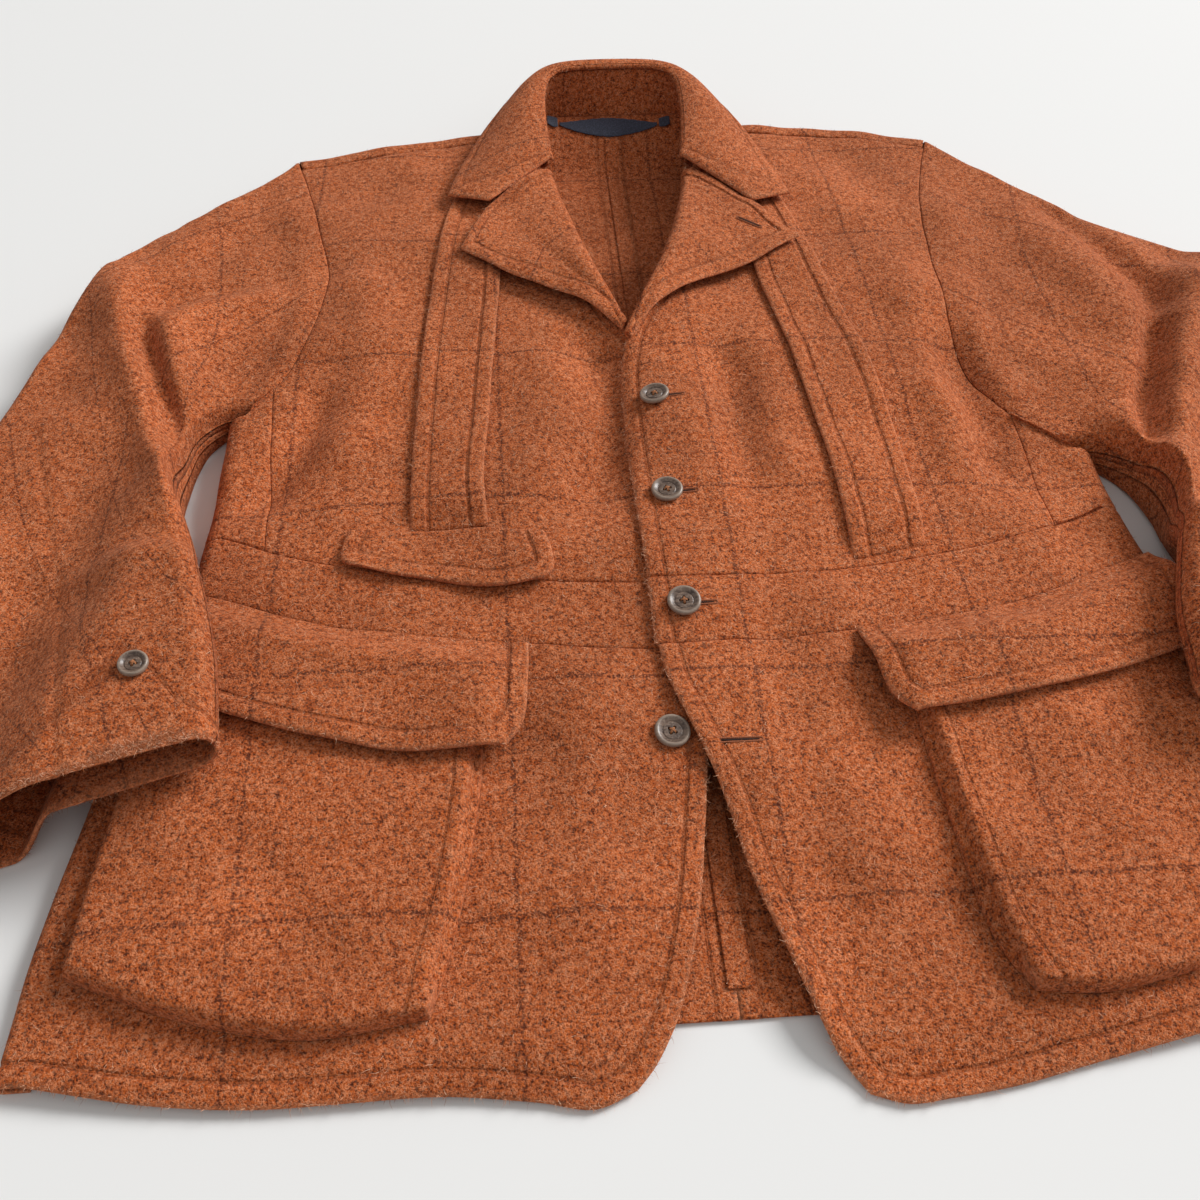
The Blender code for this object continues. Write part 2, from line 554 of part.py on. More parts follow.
def make_back(side):
    """Flat on the floor, rolled forward over the shoulder and raised to the neck seam."""
    sign = SIGN[side]
    centre_x = CENTRE_SEAM_X + sign * 0.5 * SEAM_GAP
    strip = SIDE_ROLL + SIDE_STRIP + 0.0020
    side_y = np.linspace(BACK_HEM_Y, ARMHOLE[side][-1][1] - 0.006, 7)
    side_x = sign * (half_width(side_y) - strip)
    first = armhole_points(side)[:underarm_index(side) + 1][::-1]
    end_x = first[-1, 0]
    for _ in range(6):
        end_x = armhole_x(side, fold_y(side, end_x) - SHOULDER_ROLL) - sign * SHOULDER_GAP
    neck_x = shoulder_line(side)[0, 0]
    shoulder_x = np.linspace(neck_x, end_x, SHOULDER_POINTS)
    shoulder = np.stack([shoulder_x, fold_y(side, shoulder_x) - SHOULDER_ROLL], axis=1)
    armhole = first[first[:, 1] < shoulder[-1, 1] - 0.004]
    armhole[:, 0] -= sign * 1.5 * SEAM_GAP
    outer = np.concatenate([np.stack([side_x, side_y], axis=1), armhole, shoulder[-1:]])
    rows = len(outer)
    neck = np.stack([np.linspace(centre_x, shoulder[0, 0], 4)[:-1], np.full(3, NECK_FLAT_Y)], axis=1)
    top = np.concatenate([neck, shoulder])
    top[-1] = outer[-1]
    columns = len(top)
    bottom = np.stack([np.linspace(centre_x, side_x[0], columns), np.full(columns, BACK_HEM_Y)], axis=1)
    inner = np.stack([np.full(rows, centre_x), np.linspace(BACK_HEM_Y, NECK_FLAT_Y, rows)], axis=1)
    flat = patch(bottom, top, inner, outer)
    edge = flat[-1]
    height = front_height(edge[:, 0], edge[:, 1])
    neck_share = smoothstep((np.abs(neck_x) + 0.010 - np.abs(edge[:, 0])) / 0.020)
    share = np.linspace(0.0, 1.0, columns) ** 4
    rolled = [np.column_stack([edge, np.zeros(columns)])]
    ramped = [rolled[0]]
    angles = np.radians([-90.0, -45.0, -10.0, 25.0, 60.0, 90.0, 90.0])
    for step in range(1, 7):
        turn = SHOULDER_TURN if step == 6 else 0.0
        roll = SHOULDER_ROLL * (math.cos(angles[step]) - 1) - turn
        x = edge[:, 0]
        for _ in range(4):
            shift = armhole_x(side, fold_y(side, x[-1]) + roll) - sign * SHOULDER_GAP - edge[-1, 0]
            x = edge[:, 0] + share * shift
        roll_z = height * 0.5 * (1 + math.sin(angles[step]))
        rolled.append(np.stack([x, fold_y(side, x) + roll, roll_z], axis=1))
        seam_y, seam_z = neck_line(np.clip(x, -NECK_HALF_WIDTH, NECK_HALF_WIDTH))
        ramp_y = edge[:, 1] + (seam_y - edge[:, 1]) * step / 6.0
        ramp_z = seam_z * smoothstep(np.array(step / 6.0))
        ramped.append(np.stack([x, ramp_y, ramp_z], axis=1))
    mix = neck_share[:, None]
    ramped = np.stack(ramped)
    path = np.stack(rolled) * (1 - mix) + ramped * mix
    slope = np.gradient(ramped, axis=0)
    ramp_angle = np.arctan2(-slope[..., 1], slope[..., 2])
    ramp_angle[0] = angles[0]
    facing = angles[:, None] * (1 - neck_share) + ramp_angle * neck_share
    normal = np.dstack([np.zeros(facing.shape), np.cos(facing), np.sin(facing)])
    turned = path - normal * WALL
    under = np.dstack([flat, np.zeros(flat.shape[:2])])
    upper = np.dstack([flat, np.full(flat.shape[:2], WALL)])
    add_shell("back_" + side, np.concatenate([under, path[1:]]), np.concatenate([upper, turned[1:]]))


def back_inside(x, y):
    """Inside face of the back near the neck, where it rises to the neck seam."""
    seam_y, seam_z = neck_line(x)
    return WALL + seam_z * smoothstep((y - NECK_FLAT_Y) / (seam_y - NECK_FLAT_Y))


def make_back_tape():
    y = np.concatenate([np.linspace(0.050, 0.735, 8), np.linspace(0.750, 0.780, 4)])
    x = np.linspace(-0.006, 0.006, 3)
    plan = np.dstack(np.meshgrid(x, y))
    z = back_inside(plan[..., 0], plan[..., 1]) + LAY_GAP
    add_shell("back_tape", np.dstack([plan, z + TAPE_WALL]), np.dstack([plan, z]))


# ---------- what lies on the fronts ----------

def make_strap(side):
    inner, outer = line(STRAP[side]["inner"], 15), line(STRAP[side]["outer"], 15)
    across = np.linspace(0.0, 1.0, 4)[None, :, None]
    plan = inner[:, None] * (1 - across) + outer[:, None] * across
    add_height_shell("strap_" + side, plan, side, LAY_GAP, WALL + 0.0004)


def make_breast_flap():
    top, bottom = line(BREAST_FLAP["top"], 9), line(BREAST_FLAP["bottom"], 9)
    inner = line(BREAST_FLAP["inner"], 4)[::-1]
    outer = line(BREAST_FLAP["outer"], 4)[::-1]
    plan = patch(bottom, top, inner, outer)
    add_height_shell("breast_flap", plan, "right", LAY_GAP, DOUBLE_WALL)


def pocket_plan(side):
    shape = POCKET[side]
    inner, outer = line(shape["inner"], 8)[::-1], line(shape["outer"], 8)[::-1]
    bottom = line(shape["bottom"], 9)
    top = np.linspace(inner[-1], outer[-1], 9)
    bottom[0], bottom[-1] = inner[0], outer[0]
    return patch(bottom, top, inner, outer)


def make_pocket(side):
    """Bellows pocket: a raised face with walls down to the skirt on three sides, open at the top."""
    plan = pocket_plan(side)
    columns, rows = plan.shape[1], plan.shape[0]
    centre = plan.mean(axis=(0, 1))
    padded = np.concatenate([plan[:, :1], plan, plan[:, -1:]], axis=1)
    padded = np.concatenate([padded[:1], padded], axis=0)
    rim = np.ones(padded.shape[:2])
    rim[:, 0] = rim[:, -1] = rim[0] = 0.0
    padded[:, 0, 0] += SIGN[side] * POCKET_FOOT
    padded[:, -1, 0] -= SIGN[side] * POCKET_FOOT
    padded[0, :, 1] += POCKET_FOOT
    corner = POCKET_FOOT + 0.0015
    padded[0, 1, 0] += SIGN[side] * corner
    padded[0, -2, 0] -= SIGN[side] * corner
    padded[1, 0, 1] += corner
    padded[1, -1, 1] += corner
    crown = np.zeros_like(rim)
    crown[1:, 1:-1] = 0.0010 * np.sin(np.linspace(0, math.pi, columns))[None]
    height = front_height(padded[..., 0], padded[..., 1]) + LAY_GAP + rim * (POCKET_DEPTH - LAY_GAP) + crown
    if side == "left":
        height = height + overlap_lift(padded[..., 0], padded[..., 1])
    outer = np.dstack([padded, height])
    inner = outer.copy()
    inner[1:, 1:-1, 2] -= WALL
    pull = np.zeros_like(outer)
    pull[:, 0, 0] = SIGN[side] * WALL
    pull[:, 1, 0] = SIGN[side] * WALL
    pull[:, -1, 0] = -SIGN[side] * WALL
    pull[:, -2, 0] = -SIGN[side] * WALL
    pull[0, :, 1] = WALL
    pull[1, :, 1] = WALL
    pull[0, 1, 0] = pull[0, 0, 0]
    pull[0, -2, 0] = pull[0, -1, 0]
    inner += pull
    add_shell("pocket_" + side, outer, inner)


def make_pocket_flap(side):
    shape = POCKET_FLAP[side]
    inner, outer = line(shape["inner"], 6)[::-1], line(shape["outer"], 6)[::-1]
    bottom = line(shape["bottom"], 12)
    top_x = np.linspace(inner[-1, 0], outer[-1, 0], 12)
    top = np.stack([top_x, waist_y(top_x) - 0.0015], axis=1)
    inner[-1], outer[-1] = top[0], top[-1]
    plan = patch(bottom, top, inner, outer)
    drop = smoothstep((waist_y(plan[..., 0]) - plan[..., 1]) / 0.030)
    lift = LAY_GAP + drop * (POCKET_DEPTH + 0.0013)
    add_height_shell("pocket_flap_" + side, plan, side, lift, DOUBLE_WALL)


# ---------- lapels and collar ----------

def make_lapel(side):
    """Lies on the front, rolled over at the roll line, with a short leg turned under."""
    shape = LAPEL[side]
    rows, across = 12, 6
    roll, edge = line(shape["roll"], rows), line(shape["edge"], rows)
    gorge = line(shape["gorge"], across)
    gorge[0], gorge[-1] = roll[-1], edge[-1]
    plan = patch(np.linspace(roll[0], edge[0], across), gorge, roll, edge)
    outward = plan[:, 2] - plan[:, 0]
    outward = outward / np.linalg.norm(outward, axis=1)[:, None]
    radius = LAPEL_ROLL * (0.50 + 0.58 * smoothstep(np.linspace(0, 1, rows) * 2.5))[:, None]
    share = np.linspace(0, 1, across)[None]
    plan = plan + outward[:, None] * (radius * (1 - share) ** 2)[..., None]
    rest = LAY_GAP + 0.5 * WALL
    base = lie(side, plan[..., 0], plan[..., 1])
    puff = 0.0012 * np.sin(share * math.pi)
    lift = rest + np.maximum(2 * radius * (1 - smoothstep(share)), LAPEL_CLEAR * smoothstep(share * 3)) + puff
    top = np.dstack([plan, base + lift])
    turn = []
    for angle, leg in ((-90.0, LAPEL_LEG), (-90.0, 0.0), (-45.0, 0.0), (0.0, 0.0), (45.0, 0.0)):
        reach = radius[:, 0] * (1 - math.cos(math.radians(angle)) + leg)
        point = roll + outward * reach[:, None]
        level = lie(side, point[:, 0], point[:, 1]) if leg else base[:, 0]
        z = level + rest + radius[:, 0] * (1 + math.sin(math.radians(angle)))
        turn.append(np.column_stack([point, z]))
    middle = np.concatenate([np.stack(turn, axis=1), top], axis=1)
    normal = surface_normals(middle, -SIGN[side])
    if normal[rows // 2, -2, 2] < 0:
        normal = -normal
    half = 0.5 * WALL
    add_shell("lapel_" + side, middle + normal * half, middle - normal * half)


def collar_rows(count):
    table = np.asarray(COLLAR)
    knots = np.linspace(0.0, 1.0, len(table))
    return through(table, np.linspace(0.0, 1.0, count), knots)


def make_collar():
    stations = collar_rows(25)
    seam, fold, edge = stations[:, 0:3], stations[:, 3:6], stations[:, 6:9]
    outward = edge - fold
    outward[:, 2] = 0.0
    outward = outward / np.linalg.norm(outward, axis=1)[:, None]
    rise = np.linspace(0.0, 1.0, 4)
    stand_top = fold - np.array([0.0, 0.0, 0.0040]) + outward * 0.0009
    stand = seam[:, None] * (1 - rise[None, :, None]) + stand_top[:, None] * rise[None, :, None]
    normal = surface_normals(stand)
    if normal[12, 1, 1] > 0:
        normal = -normal
    add_shell("collar_stand", stand + normal * 0.5 * WALL, stand - normal * 0.5 * WALL)

    share = np.linspace(0.0, 1.0, 6)
    control = fold + outward * 0.018 + np.array([0.0, 0.0, 0.004])
    leaf = (fold[:, None] * ((1 - share) ** 2)[None, :, None]
            + control[:, None] * (2 * share * (1 - share))[None, :, None]
            + edge[:, None] * (share ** 2)[None, :, None])
    for row, side in ((0, "right"), (-1, "left")):
        notch = np.asarray(NOTCH[side])
        ends = np.stack([fold[row], 0.5 * (fold[row] + notch), notch, 0.5 * (notch + edge[row]), edge[row]])
        leaf[row] = np.stack([np.interp(share, [0.0, 0.3, 0.6, 0.8, 1.0], ends[:, k]) for k in range(3)], axis=1)
    lip = fold - outward * 0.0022 - np.array([0.0, 0.0, 0.0022])
    leaf = np.concatenate([lip[:, None], leaf], axis=1)
    normal = surface_normals(leaf)
    if normal[12, 3, 1] < 0:
        normal = -normal
    half = 0.5 * DOUBLE_WALL
    add_shell("collar_leaf", leaf + normal * half, leaf - normal * half)


# ---------- sleeves ----------

def body_stack(x, y):
    """Top of all that lies on the body: front, pocket and flap."""
    on_pocket = smoothstep((0.305 - y) / 0.025)
    return front_height(x, y) + LAY_GAP + 0.0040 + on_pocket * (POCKET_DEPTH + 0.0015)


def sleeve_floor(x, y):
    """Under face of a sleeve: on the floor, or over the edge of the body where it crosses it."""
    reach = smoothstep((half_width(y) + 0.030 - np.abs(x)) / 0.027)
    past_armhole = smoothstep((0.375 - y) / 0.045)
    return (body_stack(x, y) + 0.0012) * reach * past_armhole


def sleeve_section(side, count):
    """Plan points across each station, how far round the roll they are, and the loft."""
    table = SLEEVE[side]
    rows = through(table, np.linspace(0.0, 1.0, count), np.linspace(0.0, 1.0, len(table)))
    outer, inner, loft = rows[:, 0:2], rows[:, 2:4], rows[:, 4]
    seam = armhole_points(side)
    length = np.linalg.norm(inner[0] - outer[0])
    first = across_sleeve(length)[:, None]
    bow = seam - (seam[0] * (1 - first) + seam[-1] * first)
    stations = []
    for index in range(count):
        blend = min(1.0, index / 7.0)
        place = across_sleeve(np.linalg.norm(inner[index] - outer[index]))[:, None]
        straight = outer[index] * (1 - place) + inner[index] * place
        stations.append(straight + bow * (1 - blend))
    round_roll = np.concatenate([np.sin(SLEEVE_TURN), np.ones(SLEEVE_FLATS), np.sin(SLEEVE_TURN)[::-1]])
    return np.stack(stations), np.repeat(round_roll[None], count, axis=0), loft


def make_sleeve(side):
    count = 17
    plan, upper, loft = sleeve_section(side, count)
    plan[0, :, 0] += SIGN[side] * SEAM_GAP
    x, y = plan[..., 0], plan[..., 1]
    floor = sleeve_floor(x, y)
    across = np.linspace(-1.0, 1.0, plan.shape[1])[None]
    crown = loft[:, None] * (1.0 + 0.10 * (1 - across ** 2))
    fade = smoothstep(np.arange(count) / 5.0)[:, None]
    end_fade = smoothstep((count - 1 - np.arange(count)) / 4.0)[:, None]
    free = floor + crown + end_fade * soft_folds(x, y, SLEEVE_FOLDS[side])
    top = lie(side, x, y) * (1 - fade) + free * fade
    depth = top - floor
    seam = 0.6 * SEAM_GAP / np.maximum(depth, 0.01)
    across_way = np.gradient(plan, axis=1)
    across_way /= np.linalg.norm(across_way, axis=2)[..., None]
    for name, sign in (("top", 1.0), ("under", -1.0)):
        level = 0.5 + sign * 0.5 * upper
        level[:, 0] += sign * seam[:, 0]
        level[:, -1] += sign * seam[:, -1]
        surface = np.dstack([plan, floor + depth * level])
        inward = -surface_normals(surface, sign * SIGN[side])
        if name == "under":
            inward[:] = (0.0, 0.0, 1.0)
        for column, turn in enumerate(SLEEVE_TURN):
            for place, way in ((column, 1.0), (-1 - column, -1.0)):
                step = np.gradient(plan[:, place], axis=0) * SIGN[side] * way
                square = np.column_stack([step[:, 1], -step[:, 0]])
                square /= np.linalg.norm(square, axis=1)[:, None]
                inward[:, place, :2] = square * math.cos(turn)
                inward[:, place, 2] = -sign * math.sin(turn)
        for row in (0, -1):
            along = np.sum(inward[row, :, :2] * across_way[row], axis=1)
            inward[row, :, :2] = along[:, None] * across_way[row]
        inward[0, 0, :2] = across_way[0, 0]
        inward[0, -1, :2] = -across_way[0, -1]
        inward /= np.linalg.norm(inward, axis=2)[..., None]
        inward[:6, 0] *= 0.6
        inward[:6, -1] *= 0.6
        add_shell("sleeve_" + name + "_" + side, surface, surface + inward * WALL)


# ---------- small pieces ----------

def make_neck_piece(name, centre, half_length, half_depth, tip_depth, gap):
    """Woven piece lying on the inside of the back, drawn in towards its two ends."""
    share = np.linspace(-1.0, 1.0, 9)
    depth = (half_depth - tip_depth) * (1 - np.abs(share) ** 1.6) + tip_depth
    rows = np.linspace(-1.0, 1.0, 4)[:, None]
    plan_y = centre[1] + rows * depth[None]
    plan_x = np.repeat(centre[0] + half_length * share[None], 4, axis=0)
    z = back_inside(plan_x, plan_y) + gap
    plan = np.dstack([plan_x, plan_y])
    add_shell(name, np.dstack([plan, z + TAPE_WALL]), np.dstack([plan, z]), NAVY, 0.6)


def make_button(name, x, y, z, across, lean):
    """Turned disc with a raised rim, a dished middle and four holes."""
    radius = across / 2
    profile = [(0.0, 0.0028), (radius * 0.58, 0.0026), (radius * 0.76, 0.0037), (radius, 0.0026),
               (radius * 0.86, 0.0), (0.0, 0.0)]
    mesh = bpy.data.meshes.new(name)
    disc = bmesh.new()
    spine = [disc.verts.new((r, 0.0, h)) for r, h in profile]
    for first, second in zip(spine, spine[1:]):
        disc.edges.new((first, second))
    bmesh.ops.spin(disc, geom=disc.verts[:] + disc.edges[:], cent=(0, 0, 0), axis=(0, 0, 1),
                   angle=2 * math.pi, steps=14, use_merge=True)
    bmesh.ops.remove_doubles(disc, verts=disc.verts[:], dist=1e-6)
    bmesh.ops.recalc_face_normals(disc, faces=disc.faces[:])
    disc.to_mesh(mesh)
    disc.free()
    button = bpy.data.objects.new(name, mesh)
    mesh.materials.append(make_material(name, HORN, 0.35))
    PARTS.objects.link(button)
    button.location = (x, y, z)
    button.rotation_euler = lean
    for index in range(4):
        angle = math.radians(45 + 90 * index)
        reach = across * 0.105
        hole = bpy.data.meshes.new("thread_hole")
        tool = bmesh.new()
        bmesh.ops.create_cone(tool, cap_ends=True, segments=5, radius1=across * 0.05,
                              radius2=across * 0.05, depth=0.02)
        tool.to_mesh(hole)
        tool.free()
        cutter = bpy.data.objects.new(name + "_hole_" + str(index), hole)
        CUTTERS.objects.link(cutter)
        cutter.parent = button
        cutter.location = (reach * math.cos(angle), reach * math.sin(angle), 0.0)
        cutter.hide_render = True
        cutter.display_type = "WIRE"
        cut = button.modifiers.new("hole", "BOOLEAN")
        cut.object = cutter
        cut.solver = "EXACT"


def seat_button(name, x, y, across, height_at):
    """Leans a button to the cloth below it and sets it just clear of the highest point."""
    step = across * 0.4
    slope_x = (height_at(x + step, y) - height_at(x - step, y)) / (2 * step)
    slope_y = (height_at(x, y + step) - height_at(x, y - step)) / (2 * step)
    seat = height_at(x, y) + BUTTON_GAP
    make_button(name, x, y, seat, across, (math.atan(slope_y), -math.atan(slope_x), 0.0))


def seat_on_sleeve(name, side, x, y, across):
    """Leans a button to the sleeve's upper face, felt for at points round its rim."""
    face = bpy.data.objects["sleeve_top_" + side]
    tree = BVHTree.FromPolygons([v.co for v in face.data.vertices],
                                [p.vertices for p in face.data.polygons])
    ring = np.linspace(0.0, 2 * math.pi, 12, endpoint=False)
    offsets = np.stack([np.cos(ring), np.sin(ring)], axis=1) * 0.47 * across
    offsets = np.concatenate([offsets, offsets * 0.5, [[0.0, 0.0]]])
    heights = np.array([tree.ray_cast((x + dx, y + dy, 0.3), (0, 0, -1))[0].z for dx, dy in offsets])
    terms = np.column_stack([np.ones(len(offsets)), offsets])
    height, slope_x, slope_y = np.linalg.lstsq(terms, heights, rcond=None)[0]
    above = np.max(heights - terms @ np.array([height, slope_x, slope_y]))
    lean = (math.atan(slope_y), -math.atan(slope_x), 0.0)
    make_button(name, x, y, height + above + LAY_GAP, across, lean)


def value_at(function):
    return lambda x, y: float(function(np.array([x]), np.array([y]))[0])


def main():
    for side in ("right", "left"):
        make_back(side)
        make_skirt(side)
        make_belt(side)
        make_front(side)
        make_side(side)
        make_strap(side)
        make_pocket(side)
        make_pocket_flap(side)
        make_lapel(side)
    make_back_tape()
    make_breast_flap()
    make_collar()
    for piece in NECK_PIECES:
        make_neck_piece(*piece)
    for name, x, y, across, layer in BUTTONS:
        side = "left" if layer == "over" else "right"
        seat_button(name, x, y, across, value_at(lambda px, py, s=side: lie(s, px, py)))
    for side in ("right", "left"):
        make_sleeve(side)
        seat_on_sleeve("cuff_button_" + side, side, *CUFF_BUTTONS[side], CUFF_BUTTON)
    for piece in PARTS.objects:
        piece.location.y -= REST_Y


PARTS, CUTTERS = start_scene()
main()
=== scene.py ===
import math

import bpy
import numpy as np
from mathutils import Euler, Matrix, Vector


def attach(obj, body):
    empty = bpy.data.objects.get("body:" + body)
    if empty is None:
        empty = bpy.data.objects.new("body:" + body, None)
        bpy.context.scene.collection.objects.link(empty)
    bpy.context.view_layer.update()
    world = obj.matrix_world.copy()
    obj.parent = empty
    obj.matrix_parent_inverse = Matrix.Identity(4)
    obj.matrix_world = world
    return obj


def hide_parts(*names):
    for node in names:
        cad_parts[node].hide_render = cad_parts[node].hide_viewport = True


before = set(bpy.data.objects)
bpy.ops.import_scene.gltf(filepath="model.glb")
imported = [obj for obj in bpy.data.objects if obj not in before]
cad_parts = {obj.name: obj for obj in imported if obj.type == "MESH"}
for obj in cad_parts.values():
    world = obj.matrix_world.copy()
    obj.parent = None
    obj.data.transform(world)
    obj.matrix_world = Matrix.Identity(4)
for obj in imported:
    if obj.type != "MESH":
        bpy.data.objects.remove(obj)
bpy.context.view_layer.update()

# Metres, in the CAD's frame. The tables below keep the garment's own y, counted from
# near the hem, and every finished point moves down by restY.
# Right and left are the wearer's, and right has negative x.
restY = 0.400
sideSign = {"right": -1.0, "left": 1.0}

cloth = {
    "wall": 0.0022,        # one layer of tweed
    "doubleWall": 0.0030,  # flaps and collar
    "tapeWall": 0.0010,
    "layGap": 0.0005,      # between a piece and what it lies on
    "gridStep": 0.0034,    # spacing of the points on large panels
    "lapLift": 0.0036,     # lapping front above a single layer
    "pocketDepth": 0.0115,
    "beltDepth": 0.0440,
}


# 3t^2 - 2t^3 with t held between 0 and 1
def smooth(value):
    t = np.clip(value, 0.0, 1.0)
    return t * t * (3.0 - 2.0 * t)


# exp(-(d/w)^2)
def bell(distance, width):
    return np.exp(-(distance / width) ** 2)


# cubic through table rows: p0(1+2t)(1-t)^2 + m0 t(1-t)^2 + p1 t^2(3-2t) + m1 t^2(t-1)
def curveThrough(table, positions, knots=None):
    rows = np.asarray(table, float)
    if rows.ndim == 1:
        rows = rows[:, None]
    if knots is None:
        steps = np.linalg.norm(np.diff(rows[:, :2], axis=0), axis=1)
        knots = np.concatenate([[0.0], np.cumsum(steps)]) / steps.sum()
    knots = np.asarray(knots, float)
    slopes = np.gradient(rows, knots, axis=0)
    index = np.clip(np.searchsorted(knots, positions, side="right") - 1, 0, len(knots) - 2)
    span = (knots[index + 1] - knots[index])[..., None]
    t = ((positions - knots[index])[..., None]) / span
    return (rows[index] * (1 + 2 * t) * (1 - t) ** 2 + slopes[index] * span * t * (1 - t) ** 2
            + rows[index + 1] * t * t * (3 - 2 * t) + slopes[index + 1] * span * t * t * (t - 1))


# points at given shares along a line of segments
def resample(points, shares):
    length = np.concatenate([[0.0], np.cumsum(np.linalg.norm(np.diff(points, axis=0), axis=1))])
    wanted = np.asarray(shares) * length[-1]
    return np.stack([np.interp(wanted, length, points[:, k]) for k in range(points.shape[1])], axis=1)


# points of that cubic at given shares of its length
def linePoints(table, shares):
    return resample(curveThrough(table, np.linspace(0.0, 1.0, 800)), shares)


# running length across a grid, starting at 0: along its rows with axis 1, up its columns with axis 0
def walked(grid, axis):
    steps = np.linalg.norm(np.diff(grid, axis=axis), axis=2).cumsum(axis=axis)
    return np.concatenate([np.zeros_like(steps.take([0], axis=axis)), steps], axis=axis)


closeSteps = {
    "plain": np.array([0.0]),
    "seam": np.array([0.0, 0.00025, 0.0006, 0.0011, 0.0018, 0.0030]),
    "band": np.array([0.0, 0.00025, 0.0006, 0.0011, 0.0018, 0.0032, 0.0055, 0.0078, 0.0092,
                      0.0101, 0.0110, 0.0120, 0.0134]),
}


# shares of a length at about gridStep, closer together at its ends, where an edge or a stitched band is
def spacing(length, first="seam", last="seam", step=None):
    start, end = closeSteps[first], closeSteps[last]
    count = int(round((length - start[-1] - end[-1]) / (step or cloth["gridStep"])))
    middle = np.linspace(start[-1], length - end[-1], max(3, count))
    return np.concatenate([start[:-1], middle, (length - end[::-1])[1:]]) / length


# boundary blend: rows lines + columns lines - corners
def patchPoints(bottom, top, inner, outer, columnShares, rowShares):
    across = columnShares[None, :, None]
    up = rowShares[:, None, None]
    corners = (bottom[0] * (1 - across) * (1 - up) + bottom[-1] * across * (1 - up)
               + top[0] * (1 - across) * up + top[-1] * across * up)
    return (bottom[None] * (1 - up) + top[None] * up
            + inner[:, None] * (1 - across) + outer[:, None] * across - corners)


# shortest distance from each point to a line of segments, and how far along it lies
def nearLine(plan, line):
    line = resample(line, np.linspace(0.0, 1.0, 70))
    points = plan.reshape(-1, 1, 2)
    start, step = line[:-1], np.diff(line, axis=0)
    lengths = np.linalg.norm(step, axis=1)
    passed = np.concatenate([[0.0], np.cumsum(lengths)])[:-1]
    t = np.clip(((points - start) * step).sum(axis=2) / np.maximum(lengths ** 2, 1e-12), 0.0, 1.0)
    gaps = np.linalg.norm(points - start - t[..., None] * step, axis=2)
    nearest = gaps.argmin(axis=1)
    rows = np.arange(len(nearest))
    along = passed[nearest] + t[rows, nearest] * lengths[nearest]
    return gaps[rows, nearest].reshape(plan.shape[:-1]), along.reshape(plan.shape[:-1])


# sqrt(1 - (1 - d/r)^2): the quarter round of a folded edge
def roundEdge(distance, radius):
    t = 1.0 - np.clip(distance / radius, 0.0, 1.0)
    return np.sqrt(np.maximum(1.0 - t * t, 0.0))


# sum of ridges h exp(-d^2 / 2w^2), d being the distance to each ridge's own line
def softFolds(x, y, folds):
    height = np.zeros_like(x)
    for x0, y0, x1, y1, width, rise in folds:
        alongX, alongY = x1 - x0, y1 - y0
        t = np.clip(((x - x0) * alongX + (y - y0) * alongY) / (alongX ** 2 + alongY ** 2), 0.0, 1.0)
        square = (x - x0 - t * alongX) ** 2 + (y - y0 - t * alongY) ** 2
        height = height + rise * np.exp(-square / (2 * width ** 2))
    return height


# the same ridges along bent lines, fading over the last fifth at both ends
def lineFolds(plan, folds):
    height = np.zeros(plan.shape[:-1])
    for line, width, rise in folds:
        points = linePoints(line, np.linspace(0.0, 1.0, 40))
        gap, along = nearLine(plan, points)
        share = along / np.linalg.norm(np.diff(points, axis=0), axis=1).sum()
        ends = 0.25 + 0.75 * smooth(np.minimum(share, 1 - share) * 5.0)
        height = height + rise * ends * np.exp(-gap ** 2 / (2 * width ** 2))
    return height


# sum of a_k sin(kx x + ky y + phase): uneven, never repeating over the garment
def ripple(x, y, waves):
    height = np.zeros_like(x)
    for length, angle, phase, size in waves:
        way = math.radians(angle)
        along = x * math.cos(way) + y * math.sin(way)
        height = height + size * np.sin(2 * math.pi * along / length + phase)
    return height


# columns: y, centre height, side height, half width
bodyTable = np.array([
    (-0.020, 0.0064, 0.0062, 0.331),
    (0.030, 0.0090, 0.0085, 0.329),
    (0.080, 0.0120, 0.0110, 0.325),
    (0.130, 0.0155, 0.0140, 0.318),
    (0.180, 0.0190, 0.0165, 0.309),
    (0.240, 0.0235, 0.0190, 0.293),
    (0.290, 0.0270, 0.0205, 0.282),
    (0.340, 0.0300, 0.0225, 0.277),
    (0.400, 0.0325, 0.0250, 0.275),
    (0.460, 0.0345, 0.0270, 0.274),
    (0.560, 0.0350, 0.0285, 0.276),
    (0.660, 0.0320, 0.0275, 0.278),
    (0.750, 0.0270, 0.0245, 0.280),
    (0.850, 0.0240, 0.0240, 0.280),
])

# columns: x0, y0, x1, y1, width, height
bodyFolds = [
    (-0.070, 0.380, -0.064, 0.300, 0.018, 0.0030),
    (-0.190, 0.640, -0.200, 0.480, 0.034, 0.0035),
    (-0.040, 0.460, -0.060, 0.360, 0.030, -0.0030),
    (-0.075, 0.200, -0.050, 0.060, 0.024, 0.0022),
    (0.060, 0.470, 0.050, 0.350, 0.030, 0.0030),
    (0.180, 0.640, 0.190, 0.470, 0.034, 0.0035),
    (0.205, 0.470, 0.240, 0.360, 0.022, -0.0030),
    (0.075, 0.200, 0.070, 0.060, 0.024, 0.0022),
]
